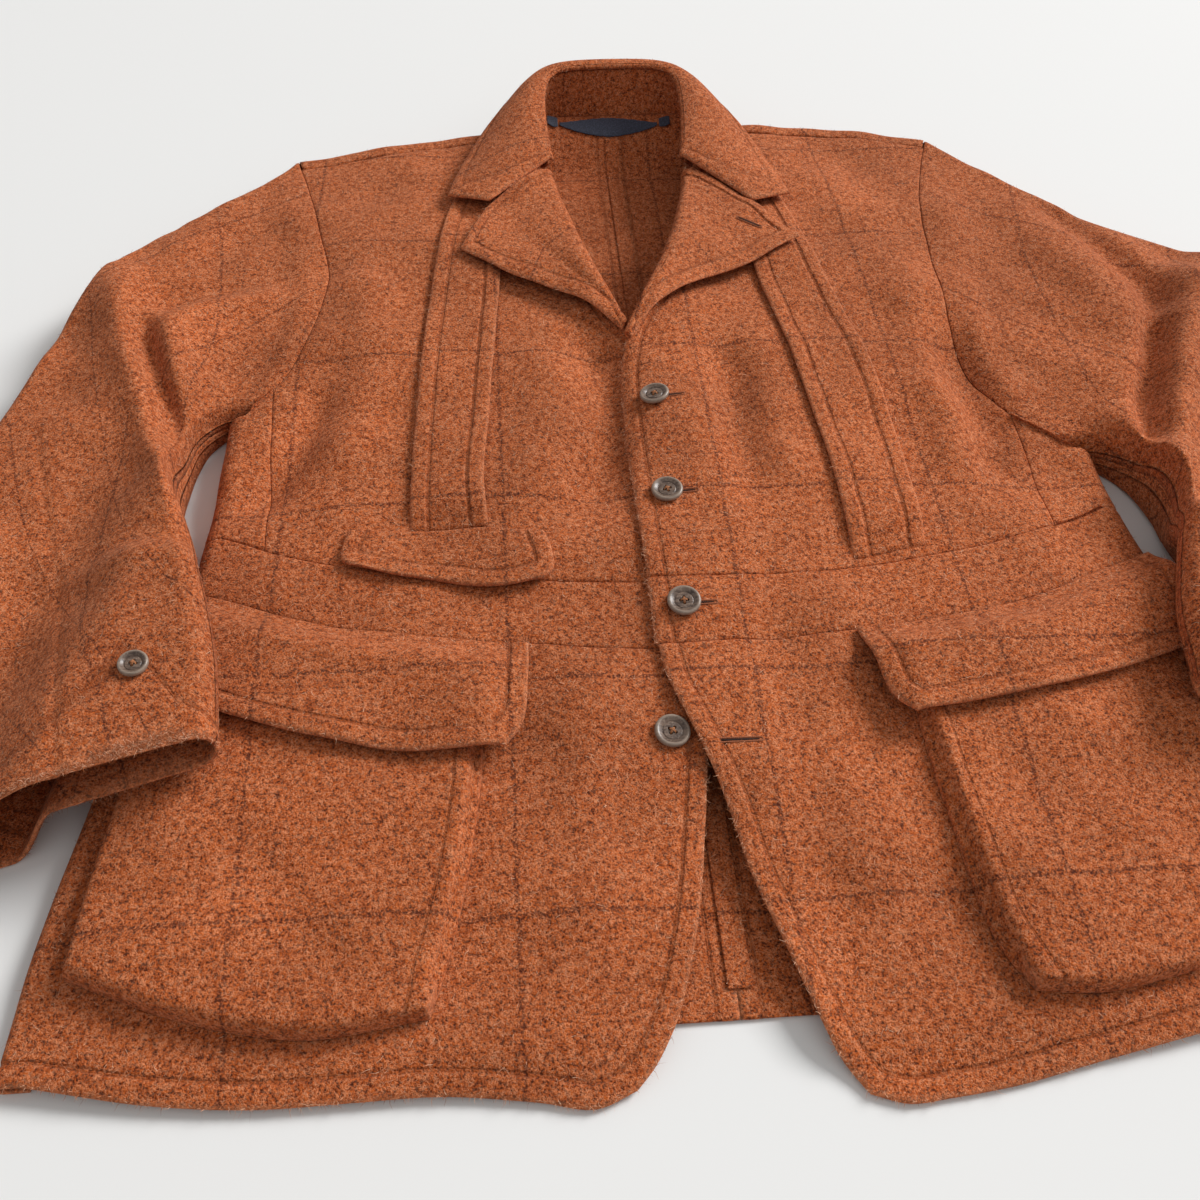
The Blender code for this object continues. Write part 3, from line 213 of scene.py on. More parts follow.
# the smaller creases between them, right side then left side
fineFolds = [
    (-0.060, 0.470, -0.076, 0.400, 0.009, -0.0012),
    (-0.036, 0.452, -0.046, 0.395, 0.010, 0.0012),
    (-0.176, 0.520, -0.190, 0.430, 0.012, -0.0012),
    (-0.205, 0.560, -0.222, 0.500, 0.010, 0.0014),
    (-0.196, 0.470, -0.226, 0.420, 0.009, -0.0014),
    (-0.050, 0.150, -0.030, 0.090, 0.012, -0.0012),
    (-0.092, 0.140, -0.080, 0.070, 0.010, 0.0010),
    (-0.180, 0.720, -0.205, 0.660, 0.014, -0.0012),
    (0.052, 0.460, 0.046, 0.380, 0.010, -0.0012),
    (0.170, 0.520, 0.186, 0.430, 0.013, -0.0014),
    (0.196, 0.560, 0.204, 0.470, 0.010, 0.0014),
    (0.182, 0.430, 0.222, 0.370, 0.010, 0.0014),
    (0.056, 0.180, 0.052, 0.100, 0.012, -0.0012),
    (0.090, 0.110, 0.092, 0.050, 0.010, 0.0010),
    (0.185, 0.730, 0.200, 0.660, 0.014, -0.0012),
    (0.030, 0.205, 0.080, 0.190, 0.009, 0.0008),
]
# the hollows at the waist and beside the lapping edge, each a line of x, y, then width and height
waistFolds = [
    ([(-0.040, 0.505), (-0.034, 0.450), (-0.036, 0.400), (-0.050, 0.350), (-0.070, 0.335)], 0.0130, -0.0070),
    ([(-0.062, 0.500), (-0.064, 0.440), (-0.080, 0.390), (-0.092, 0.345)], 0.0140, 0.0040),
    ([(-0.196, 0.600), (-0.186, 0.500), (-0.190, 0.420), (-0.205, 0.360)], 0.0130, 0.0036),
    ([(-0.216, 0.470), (-0.222, 0.420), (-0.238, 0.375), (-0.262, 0.345)], 0.0100, -0.0055),
    ([(0.206, 0.500), (0.208, 0.450), (0.209, 0.400), (0.206, 0.350)], 0.0110, -0.0068),
    ([(0.184, 0.560), (0.183, 0.470), (0.186, 0.400), (0.176, 0.340)], 0.0120, 0.0042),
    ([(0.040, 0.500), (0.050, 0.440), (0.046, 0.380), (0.058, 0.330)], 0.0130, -0.0040),
    ([(0.070, 0.470), (0.070, 0.400), (0.078, 0.340)], 0.0110, 0.0022),
    ([(-0.060, 0.215), (-0.068, 0.150), (-0.062, 0.080), (-0.075, 0.030)], 0.0120, 0.0022),
    ([(0.065, 0.215), (0.062, 0.150), (0.072, 0.080), (0.070, 0.020)], 0.0130, 0.0022),
]
# columns: wave length, direction in degrees, phase, height
bodyWaves = [(0.073, 20, 0.4, 0.00055), (0.052, 95, 1.9, 0.00042), (0.038, 140, 3.0, 0.00024),
             (0.105, 62, 5.1, 0.00075), (0.029, 38, 2.2, 0.00012)]


def bodyValue(y, column):
    held = np.clip(y, bodyTable[0, 0], bodyTable[-1, 0])
    return curveThrough(bodyTable[:, column], held, bodyTable[:, 0])[..., 0]


def halfWidth(y):
    return bodyValue(y, 3)


# side + (centre - side)(1 - (x/w)^2) + folds
def frontHeight(x, y, fine=1.0):
    centre, side = bodyValue(y, 1), bodyValue(y, 2)
    across = np.clip(np.abs(x) / halfWidth(y), 0.0, 1.0)
    fade = smooth((y - 0.02) / 0.08)
    small = softFolds(x, y, fineFolds) + ripple(x, y, bodyWaves)
    if fine > 0:
        small = small + lineFolds(np.stack([x, y], axis=-1), waistFolds)
    folds = softFolds(x, y, bodyFolds) + 1.3 * fine * small
    return side + (centre - side) * (1 - across ** 2) + fade * folds


def lapLift(x, y):
    overButton = 0.0040 * np.exp(-((x + 0.018) ** 2 + (y - 0.182) ** 2) / (2 * 0.022 ** 2))
    return (cloth["lapLift"] + overButton) * smooth((0.055 - x) / 0.030)


def lieHeight(side, x, y):
    height = frontHeight(x, y)
    return height + lapLift(x, y) if side == "left" else height


def addNode(tree, kind, inputs=None, **settings):
    added = tree.nodes.new(kind)
    for setting, value in settings.items():
        setattr(added, setting, value)
    for key, value in (inputs or {}).items():
        if isinstance(value, bpy.types.NodeSocket):
            tree.links.new(value, added.inputs[key])
        else:
            added.inputs[key].default_value = value
    return added


def calc(tree, operation, *values):
    return addNode(tree, "ShaderNodeMath", dict(enumerate(values)), operation=operation).outputs[0]


def vectorCalc(tree, operation, *values):
    return addNode(tree, "ShaderNodeVectorMath", dict(enumerate(values)), operation=operation).outputs[0]


# 0 below low, 1 above high, smooth between
def fade(tree, value, low, high):
    inputs = {0: value, 1: low, 2: high}
    return addNode(tree, "ShaderNodeMapRange", inputs, interpolation_type="SMOOTHSTEP").outputs[0]


def noiseAt(tree, place, scale, detail=2.0, distortion=0.0, roughness=0.5):
    inputs = {"Vector": place, "Scale": scale, "Detail": detail, "Distortion": distortion,
              "Roughness": roughness}
    return addNode(tree, "ShaderNodeTexNoise", inputs).outputs[0]


def mixColor(tree, share, first, second, blend="MIX"):
    inputs = {0: share, 6: first, 7: second}
    added = addNode(tree, "ShaderNodeMix", inputs, data_type="RGBA", blend_type=blend)
    return added.outputs[2]


def uvLayer(tree, name):
    return addNode(tree, "ShaderNodeUVMap", uv_map=name).outputs[0]


def split(tree, vector):
    return addNode(tree, "ShaderNodeSeparateXYZ", {0: vector}).outputs


def times(tree, first, second):
    return calc(tree, "MULTIPLY", first, second)


def oneLess(tree, value):
    return calc(tree, "SUBTRACT", 1.0, value)


# a material with constants on its shader's own sockets; gives the material, its tree and the shader
def newMaterial(name, **constants):
    material = bpy.data.materials.new(name)
    material.use_nodes = True
    shader = material.node_tree.nodes["Principled BSDF"]
    for socket, value in constants.items():
        shader.inputs[socket.replace("_", " ")].default_value = value
    return material, material.node_tree, shader


def addBump(tree, shader, height, strength, distance):
    bump = addNode(tree, "ShaderNodeBump", {"Height": height, "Strength": strength, "Distance": distance})
    tree.links.new(bump.outputs[0], shader.inputs["Normal"])


tweedLook = {
    "gap": (0.080, 0.013, 0.004, 1.0),      # dark brown between the fibres
    "body": (0.330, 0.062, 0.011, 1.0),     # rust
    "orange": (0.520, 0.115, 0.023, 1.0),
    "pale": (0.860, 0.370, 0.190, 1.0),     # pinkish curly fibres
    "line": (0.075, 0.016, 0.009, 1.0),     # windowpane
    "lineEvery": 0.131, "lineY": 0.087, "lineX": 0.030, "lineWide": 0.0012, "lineShow": 0.62,
    "stitchIn": 0.0105, "stitchEvery": 0.0034,
    "fibreScale": 430.0, "grainScale": 820.0, "blotchScale": 300.0, "paleShow": 0.66,
    "bodyFrom": (0.34, 0.49), "orangeFrom": (0.48, 0.63),
    "blotchShare": 0.22, "grainShare": 0.78, "bump": 0.80, "bumpDeep": 0.0007,
    "roughness": 0.95, "specular": 0.18,
    "sheen": 0.07, "sheenRoughness": 0.45, "sheenTint": (1.0, 0.60, 0.38, 1.0),
}


# thin bright lines where a noise crosses one half: curled fibres
def curledFibres(tree, place, scale, thickness, distortion):
    value = noiseAt(tree, place, scale, 0.0, distortion)
    away = calc(tree, "ABSOLUTE", calc(tree, "SUBTRACT", value, 0.5))
    return oneLess(tree, fade(tree, away, thickness * 0.35, thickness))


# Heather of dark gaps, rust cloth and pale curled fibres in the jacket's own space; the windowpane lines
# follow the weave coordinate, the stitching, the painted shade in its groove and the painted sheen highlight
# along stitched edges the seam coordinate (distance in, place along).
def makeTweed(name, look):
    material, tree, shader = newMaterial(
        name, Roughness=look["roughness"], Specular_IOR_Level=look["specular"], Sheen_Weight=look["sheen"],
        Sheen_Roughness=look["sheenRoughness"], Sheen_Tint=look["sheenTint"])
    place = addNode(tree, "ShaderNodeTexCoord").outputs["Object"]
    weave = uvLayer(tree, "weave")
    seam = uvLayer(tree, "seam")
    weaveParts = split(tree, weave)
    seamParts = split(tree, seam)
    large = curledFibres(tree, place, look["fibreScale"], 0.075, 1.2)
    beside = vectorCalc(tree, "ADD", place, (3.1, 7.7, 1.3))
    small = curledFibres(tree, beside, look["fibreScale"] * 2.1, 0.085, 0.8)
    grain = noiseAt(tree, place, look["grainScale"], 1.0)
    blotch = noiseAt(tree, place, look["blotchScale"], 1.0)
    patchy = noiseAt(tree, place, 95.0, 1.0)
    worn = noiseAt(tree, place, 11.0, 1.0)
    mottled = calc(tree, "MULTIPLY_ADD", blotch, look["blotchShare"], times(tree, grain, look["grainShare"]))
    color = mixColor(tree, fade(tree, mottled, *look["bodyFrom"]), look["gap"], look["body"])
    color = mixColor(tree, fade(tree, mottled, *look["orangeFrom"]), color, look["orange"])
    paleShare = calc(tree, "MAXIMUM", times(tree, large, 0.80), times(tree, small, 0.85))
    paleShare = times(tree, paleShare, calc(tree, "MULTIPLY_ADD", fade(tree, blotch, 0.34, 0.62), 0.60, 0.25))
    color = mixColor(tree, times(tree, paleShare, look["paleShow"]), color, look["pale"])

    half = look["lineEvery"] * 0.5
    wobble = times(tree, calc(tree, "SUBTRACT", patchy, 0.5), 0.0030)
    lines = None
    for part, start in ((weaveParts[0], look["lineX"]), (weaveParts[1], look["lineY"])):
        moved = calc(tree, "ADD", calc(tree, "ADD", part, half - start + 20 * look["lineEvery"]), wobble)
        within = calc(tree, "MODULO", moved, look["lineEvery"])
        gap = calc(tree, "ABSOLUTE", calc(tree, "SUBTRACT", within, half))
        mask = oneLess(tree, fade(tree, gap, look["lineWide"] * 0.5, look["lineWide"] * 1.5))
        lines = mask if lines is None else calc(tree, "MAXIMUM", lines, mask)
    lines = times(tree, times(tree, lines, fade(tree, grain, 0.72, 0.40)), look["lineShow"])
    color = mixColor(tree, lines, color, look["line"])

    along = calc(tree, "MODULO", seamParts[1], look["stitchEvery"])
    dash = fade(tree, calc(tree, "ABSOLUTE", calc(tree, "SUBTRACT", along, look["stitchEvery"] * 0.5)),
                look["stitchEvery"] * 0.42, look["stitchEvery"] * 0.30)
    fromStitch = calc(tree, "ABSOLUTE", calc(tree, "SUBTRACT", seamParts[0], look["stitchIn"]))
    groove = oneLess(tree, fade(tree, fromStitch, 0.0002, 0.0019))
    thread = times(tree, dash, oneLess(tree, fade(tree, fromStitch, 0.0002, 0.0006)))
    # painted shade: the stitch groove is darkened toward the dark gap colour, as if shade fell in the dent
    color = mixColor(tree, times(tree, groove, 0.34), color, look["gap"])
    color = mixColor(tree, times(tree, thread, 0.30), color, look["orange"])
    # painted sheen highlight: the cloth is paled within 3 mm of stitched edges, where light catches the rounded
    # folded edge
    paintedEdgeSheen = oneLess(tree, fade(tree, seamParts[0], 0.0003, 0.0030))
    color = mixColor(tree, times(tree, paintedEdgeSheen, 0.16), color, look["pale"])
    tone = addNode(tree, "ShaderNodeMapRange", {0: worn, 1: 0.3, 2: 0.7, 3: 0.88, 4: 1.12}).outputs[0]
    scaled = addNode(tree, "ShaderNodeVectorMath", {0: color, "Scale": tone}, operation="SCALE").outputs[0]
    tree.links.new(scaled, shader.inputs["Base Color"])

    relief = calc(tree, "ADD", times(tree, mottled, 1.5), times(tree, large, 0.35))
    relief = calc(tree, "SUBTRACT", relief, times(tree, groove, 0.90))
    relief = calc(tree, "ADD", relief, times(tree, thread, 0.50))
    addBump(tree, shader, relief, look["bump"], look["bumpDeep"])
    return material


labelLook = {"color": (0.012, 0.017, 0.036, 1.0), "thread": (0.035, 0.045, 0.085, 1.0),
             "roughness": 0.62, "sheen": 0.2}


def makeLabelCloth(name, look):
    material, tree, shader = newMaterial(name, Roughness=look["roughness"], Sheen_Weight=look["sheen"])
    weave = uvLayer(tree, "weave")
    parts = split(tree, weave)
    ribs = calc(tree, "SINE", times(tree, parts[1], 9000.0))
    uneven = fade(tree, noiseAt(tree, weave, 900.0, 2.0), 0.42, 0.62)
    mixed = mixColor(tree, uneven, look["color"], look["thread"])
    tree.links.new(mixed, shader.inputs["Base Color"])
    addBump(tree, shader, ribs, 0.35, 0.0002)
    return material


hornLook = {"dark": (0.070, 0.042, 0.030, 1.0), "mid": (0.185, 0.122, 0.088, 1.0),
            "pale": (0.440, 0.345, 0.270, 1.0), "roughness": 0.36}


# streaks along one way, paler at the rim; reads the weave coordinate and the share of the radius
def makeHorn(name, look):
    material, tree, shader = newMaterial(name, Roughness=look["roughness"])
    weave = uvLayer(tree, "weave")
    seam = uvLayer(tree, "seam")
    seamParts = split(tree, seam)
    stretched = vectorCalc(tree, "MULTIPLY", weave, (1.0, 4.5, 1.0))
    streaks = noiseAt(tree, stretched, 160.0, 4.0, 0.6)
    flecks = noiseAt(tree, weave, 900.0, 2.0)
    color = mixColor(tree, fade(tree, streaks, 0.35, 0.65), look["dark"], look["mid"])
    color = mixColor(tree, times(tree, fade(tree, flecks, 0.50, 0.72), 0.30), color, look["pale"])
    rim = fade(tree, seamParts[0], 0.74, 0.90)
    color = mixColor(tree, times(tree, rim, 0.45), color, look["pale"])
    tree.links.new(color, shader.inputs["Base Color"])
    addBump(tree, shader, flecks, 0.12, 0.0002)
    return material


threadLook = {"color": (0.52, 0.20, 0.075, 1.0), "roughness": 0.75}


def makeThread(name, look):
    material, tree, shader = newMaterial(name, Roughness=look["roughness"])
    place = addNode(tree, "ShaderNodeTexCoord").outputs["Object"]
    twist = noiseAt(tree, place, 2600.0, 2.0)
    darker = tuple(0.45 * part for part in look["color"][:3]) + (1.0,)
    mixed = mixColor(tree, fade(tree, twist, 0.35, 0.65), darker, look["color"])
    tree.links.new(mixed, shader.inputs["Base Color"])
    return material


tweed = makeTweed("tweed", tweedLook)
labelCloth = makeLabelCloth("label_cloth", labelLook)
horn = makeHorn("horn", hornLook)
threadMaterial = makeThread("sewing_thread", threadLook)
holeThread = makeThread("buttonhole_thread", {"color": (0.40, 0.115, 0.040, 1.0), "roughness": 0.85})
# near-black material for the buttonhole slits: painted shade inside the open cut
slitShadeMaterial = makeThread("buttonhole_slit", {"color": (0.030, 0.010, 0.006, 1.0), "roughness": 0.95})


napTones = {"dark": (0.220, 0.055, 0.016, 1.0), "mid": (0.480, 0.155, 0.055, 1.0),
            "pale": (0.820, 0.480, 0.310, 1.0)}


# each hair keeps one tone, held in its seam coordinate
def makeNapMaterial(name, look):
    material, tree, shader = newMaterial(name, Roughness=0.8, Specular_IOR_Level=0.2)
    seam = uvLayer(tree, "seam")
    tone = split(tree, seam)[0]
    mixed = mixColor(tree, fade(tree, tone, 0.05, 0.55), look["dark"], look["mid"])
    mixed = mixColor(tree, fade(tree, tone, 0.50, 1.00), mixed, look["pale"])
    tree.links.new(mixed, shader.inputs["Base Color"])
    return material


napMaterial = makeNapMaterial("nap", napTones)
print("stage: materials made")


napSources = []


# area of a grid: half the cross product of each cell's diagonals
def gridArea(grid):
    first = grid[1:, 1:] - grid[:-1, :-1]
    second = grid[1:, :-1] - grid[:-1, 1:]
    return float(np.linalg.norm(np.cross(first, second), axis=2).sum() * 0.5)


def buildMesh(name, points, faces, layers, material):
    mesh = bpy.data.meshes.new(name)
    mesh.vertices.add(len(points))
    mesh.vertices.foreach_set("co", np.ascontiguousarray(points, dtype=np.float32).ravel())
    mesh.loops.add(faces.size)
    mesh.loops.foreach_set("vertex_index", faces.astype(np.int32).ravel())
    mesh.polygons.add(len(faces))
    mesh.polygons.foreach_set("loop_start", np.arange(0, faces.size, faces.shape[1], dtype=np.int32))
    mesh.update(calc_edges=True)
    for layer, values in layers.items():
        data = mesh.uv_layers.new(name=layer).data
        data.foreach_set("uv", values[faces.ravel()].astype(np.float32).ravel())
    mesh.materials.append(material)
    mesh.shade_smooth()
    piece = bpy.data.objects.new(name, mesh)
    bpy.context.scene.collection.objects.link(piece)
    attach(piece, "root")
    return piece


# sum over quads of a.(b x c)/6 + a.(c x d)/6
def signedVolume(points, faces):
    a, b, c, d = (points[faces[:, k]] for k in range(4))
    return (np.einsum("ij,ij->i", a, np.cross(b, c)) + np.einsum("ij,ij->i", a, np.cross(c, d))).sum() / 6.0


# two grids of the same size joined round their rims into one closed wall
def closedWall(name, top, bottom, weave, seam, material):
    rows, columns = top.shape[:2]
    upper = np.arange(rows * columns).reshape(rows, columns)
    lower = upper + rows * columns
    sheets = [np.stack([upper[:-1, :-1], upper[:-1, 1:], upper[1:, 1:], upper[1:, :-1]], axis=-1),
              np.stack([lower[:-1, :-1], lower[1:, :-1], lower[1:, 1:], lower[:-1, 1:]], axis=-1)]
    rim = np.concatenate([upper[0, :], upper[1:, -1], upper[-1, -2::-1], upper[-2:0:-1, 0]])
    following = np.roll(rim, -1)
    offset = rows * columns
    wall = np.stack([following, rim, rim + offset, following + offset], axis=-1)
    faces = np.concatenate([sheets[0].reshape(-1, 4), sheets[1].reshape(-1, 4), wall])
    points = np.concatenate([top.reshape(-1, 3), bottom.reshape(-1, 3)])
    points[:, 1] -= restY
    if signedVolume(points - points.mean(axis=0), faces) < 0:
        faces = faces[:, ::-1]
    layers = {"weave": np.concatenate([weave.reshape(-1, 2)] * 2),
              "seam": np.concatenate([seam.reshape(-1, 2)] * 2)}
    return buildMesh(name, points, faces, layers, material)


# unit vectors square to a grid, turned so that at one of its points they go a given way along one axis
def inwardOf(surface, row, column, axis=2, way=-1.0):
    normal = np.cross(np.gradient(surface, axis=1), np.gradient(surface, axis=0))
    normal /= np.maximum(np.linalg.norm(normal, axis=2), 1e-12)[..., None]
    return normal if normal[row, column, axis] * way > 0 else -normal


def edgeLine(grid, edge):
    return {"bottom": grid[0], "top": grid[-1], "inner": grid[:, 0], "outer": grid[:, -1]}[edge]


# nearest of several edges of a grid: distance and place along it
def edgeGap(weave, edges):
    gap = np.full(weave.shape[:2], 0.5)
    along = np.zeros(weave.shape[:2])
    for edge in edges:
        here, place = nearLine(weave, edgeLine(weave, edge))
        along = np.where(here < gap, place, along)
        gap = np.minimum(gap, here)
    return gap, along


seamRelief = {"freeRound": 0.0015, "freeShare": 0.46, "sewnRound": 0.0034, "sewnDip": 0.0010,
              "grooveDip": 0.00065, "bandPuff": 0.00055}


# One sewn piece. Each face moves inward by: the quarter round at free edges, a dip at sewn ones,
# a groove along the stitching, less the puff of the band outside it.
def sewPiece(name, surface, inward, wall, weave, free=(), sewn=(), stitched=(), rests=(), material=None,
             slotName="tweed", node=None):
    freeGap, freeAlong = edgeGap(weave, free)
    sewnGap, sewnAlong = edgeGap(weave, sewn)
    stitchGap, stitchAlong = edgeGap(weave, stitched)
    turned = wall * seamRelief["freeShare"] * (1 - roundEdge(freeGap, seamRelief["freeRound"]))
    dip = seamRelief["sewnDip"] * (wall / cloth["wall"]) * (1 - roundEdge(sewnGap, seamRelief["sewnRound"]))
    inside = tweedLook["stitchIn"]
    groove = seamRelief["grooveDip"] * bell(stitchGap - inside, 0.0011)
    past = smooth((stitchGap - inside + 0.0012) / 0.0012)
    band = seamRelief["bandPuff"] * smooth(stitchGap / 0.003) * (1 - past)
    top = surface + inward * np.minimum(turned + dip + groove - band, 0.47 * wall)[..., None]
    bottom = surface + inward * (wall - turned)[..., None]
    top[..., 2] = np.maximum(top[..., 2], 0.0)
    bottom[..., 2] = np.maximum(bottom[..., 2], 0.0)
    seam = np.dstack([stitchGap, stitchAlong])
    piece = closedWall(name, top, bottom, weave, seam, material or tweed)
    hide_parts(node or name)
    if slotName == "tweed":
        napSources.append((surface, -inward, freeGap))


def upright(shape):
    return np.broadcast_to(np.array([0.0, 0.0, -1.0]), shape + (3,)).copy()


# a piece that follows the front below it: upper face = lie + lift + wall
def layPiece(name, side, plan, lift, wall, **words):
    x, y = plan[..., 0], plan[..., 1]
    surface = np.dstack([plan, lieHeight(side, x, y) + lift + wall])
    sewPiece(name, surface, upright(plan.shape[:2]), wall, plan, **words)


# Plan lines of the cut, right side then left side: columns x, y
armhole = {
    "right": [(-0.256, 0.748), (-0.242, 0.694), (-0.227, 0.622), (-0.218, 0.570), (-0.2235, 0.520),
              (-0.233, 0.484), (-0.245, 0.458), (-0.259, 0.440)],
    "left": [(0.262, 0.762), (0.244, 0.708), (0.228, 0.650), (0.220, 0.590), (0.214, 0.530),
             (0.2115, 0.480), (0.217, 0.445), (0.231, 0.414), (0.255, 0.386)],
}
shoulderFold = {
    "right": [(-0.256, 0.748), (-0.200, 0.762), (-0.147, 0.776), (-0.105, 0.785), (-0.072, 0.788)],
    "left": [(0.262, 0.762), (0.199, 0.780), (0.151, 0.789), (0.109, 0.793), (0.072, 0.792)],
}
frontEdge = {
    "right": [(0.018, 0.2825), (0.018, 0.360), (0.018, 0.430), (0.013, 0.464), (0.000, 0.487),
              (-0.015, 0.508), (-0.024, 0.528), (-0.035, 0.560), (-0.046, 0.612), (-0.055, 0.656),
              (-0.060, 0.690), (-0.066, 0.728), (-0.070, 0.757)],
    "left": [(-0.0215, 0.2825), (-0.023, 0.350), (-0.023, 0.420), (-0.0195, 0.470), (-0.011, 0.502),
             (0.005, 0.530), (0.016, 0.556), (0.032, 0.603), (0.044, 0.650), (0.051, 0.690),
             (0.060, 0.728), (0.067, 0.765)],
}
sideSeam = {
    "right": [(-0.2400, 0.3240), (-0.2430, 0.390), (-0.2450, 0.4550)],
    "left": [(0.2290, 0.3140), (0.2300, 0.360), (0.2310, 0.4140)],
}
waistSeam = [(0.000, 0.2365), (0.060, 0.2390), (0.100, 0.2430), (0.143, 0.2490), (0.180, 0.2565),
              (0.215, 0.2665), (0.250, 0.2800), (0.290, 0.2970)]
skirtEdge = {
    "right": [(0.018, 0.2365), (0.0155, 0.205), (0.001, 0.172), (-0.006, 0.134), (-0.014, 0.091),
              (-0.022, 0.061), (-0.032, 0.034), (-0.044, 0.015), (-0.052, 0.007)],
    "left": [(-0.0195, 0.2365), (-0.017, 0.214), (-0.005, 0.175), (0.005, 0.139), (0.011, 0.105),
             (0.020, 0.073), (0.029, 0.042), (0.039, 0.015), (0.050, -0.001)],
}
hem = {
    "right": [(-0.052, 0.007), (-0.069, 0.001), (-0.095, 0.005), (-0.138, 0.010), (-0.176, 0.010),
              (-0.218, 0.010), (-0.260, 0.014), (-0.317, 0.025)],
    "left": [(0.050, -0.001), (0.065, -0.006), (0.087, -0.005), (0.115, -0.002), (0.153, 0.005),
             (0.204, 0.014), (0.260, 0.024), (0.317, 0.036)],
}
backHemY = 0.036

# Sleeves, from the armhole to the cuff: both folded edges in plan, and the loft
# columns: outer x, outer y, inner x, inner y, loft
sleeve = {
    "right": [(-0.256, 0.748, -0.259, 0.440, 0.026), (-0.289, 0.703, -0.2780, 0.436, 0.030),
              (-0.321, 0.665, -0.2905, 0.420, 0.033), (-0.350, 0.634, -0.2945, 0.399, 0.035),
              (-0.373, 0.598, -0.2950, 0.376, 0.036), (-0.390, 0.549, -0.2935, 0.362, 0.036),
              (-0.403, 0.490, -0.2890, 0.347, 0.035), (-0.418, 0.426, -0.2820, 0.330, 0.033),
              (-0.431, 0.360, -0.2740, 0.308, 0.031), (-0.437, 0.295, -0.2650, 0.280, 0.029),
              (-0.433, 0.235, -0.2560, 0.250, 0.027), (-0.417, 0.185, -0.2480, 0.215, 0.026),
              (-0.390, 0.124, -0.2420, 0.168, 0.025)],
    "left": [(0.262, 0.762, 0.255, 0.386, 0.026), (0.296, 0.711, 0.2780, 0.381, 0.030),
             (0.329, 0.669, 0.2930, 0.367, 0.033), (0.364, 0.636, 0.2985, 0.350, 0.035),
             (0.400, 0.605, 0.3000, 0.332, 0.036), (0.433, 0.572, 0.2990, 0.323, 0.036),
             (0.461, 0.533, 0.2965, 0.314, 0.035), (0.477, 0.477, 0.2920, 0.303, 0.033),
             (0.484, 0.415, 0.2850, 0.288, 0.031), (0.474, 0.345, 0.2760, 0.268, 0.029),
             (0.458, 0.280, 0.2665, 0.245, 0.027), (0.436, 0.215, 0.2570, 0.217, 0.026),
             (0.398, 0.125, 0.2510, 0.176, 0.025)],
}
strap = {
    "right": {"inner": [(-0.110, 0.3270), (-0.112, 0.360), (-0.108, 0.420), (-0.102, 0.500), (-0.096, 0.577),
                        (-0.090, 0.640), (-0.080, 0.700)],
              "outer": [(-0.156, 0.3270), (-0.156, 0.360), (-0.154, 0.420), (-0.149, 0.505), (-0.142, 0.590),
                        (-0.134, 0.650), (-0.120, 0.700)]},
    "left": {"inner": [(0.101, 0.2925), (0.100, 0.365), (0.096, 0.431), (0.090, 0.505), (0.084, 0.573),
                       (0.080, 0.640), (0.076, 0.700)],
             "outer": [(0.146, 0.3010), (0.148, 0.389), (0.145, 0.459), (0.135, 0.537), (0.126, 0.620),
                       (0.121, 0.660), (0.112, 0.700)]},
}
breastFlap = {
    "top": [(-0.078, 0.3190), (-0.120, 0.3250), (-0.156, 0.3260), (-0.192, 0.3290)],
    "bottom": [(-0.080, 0.2830), (-0.100, 0.2800), (-0.137, 0.2870), (-0.170, 0.2930), (-0.186, 0.2990)],
    "inner": [(-0.078, 0.3190), (-0.074, 0.302), (-0.074, 0.290), (-0.080, 0.2830)],
    "outer": [(-0.192, 0.3290), (-0.195, 0.312), (-0.193, 0.303), (-0.186, 0.2990)],
}
pocketFlap = {
    "right": {"inner": [(-0.090, 0.2400), (-0.0915, 0.210), (-0.095, 0.186), (-0.104, 0.1715)],
              "bottom": [(-0.104, 0.1715), (-0.142, 0.169), (-0.172, 0.173), (-0.207, 0.182), (-0.246, 0.197),
                         (-0.282, 0.212)],
              "outer": [(-0.278, 0.2890), (-0.281, 0.250), (-0.282, 0.212)]},
    "left": {"inner": [(0.091, 0.2400), (0.094, 0.212), (0.099, 0.190), (0.108, 0.178)],
             "bottom": [(0.108, 0.178), (0.154, 0.184), (0.199, 0.192), (0.240, 0.203), (0.282, 0.217)],
             "outer": [(0.278, 0.2890), (0.281, 0.250), (0.282, 0.217)]},
}
pocket = {
    "right": {"inner": [(-0.115, 0.2150), (-0.118, 0.150), (-0.126, 0.100), (-0.136, 0.060), (-0.142, 0.042)],
              "bottom": [(-0.142, 0.042), (-0.166, 0.0385), (-0.195, 0.036), (-0.225, 0.0405), (-0.255, 0.049),
                         (-0.285, 0.061), (-0.306, 0.070)],
              "outer": [(-0.287, 0.2350), (-0.293, 0.180), (-0.301, 0.120), (-0.306, 0.070)]},
    "left": {"inner": [(0.112, 0.2150), (0.1135, 0.150), (0.117, 0.095), (0.123, 0.058), (0.134, 0.037)],
             "bottom": [(0.134, 0.037), (0.160, 0.034), (0.205, 0.040), (0.250, 0.050), (0.306, 0.066)],
             "outer": [(0.287, 0.2350), (0.293, 0.180), (0.301, 0.120), (0.306, 0.066)]},
}

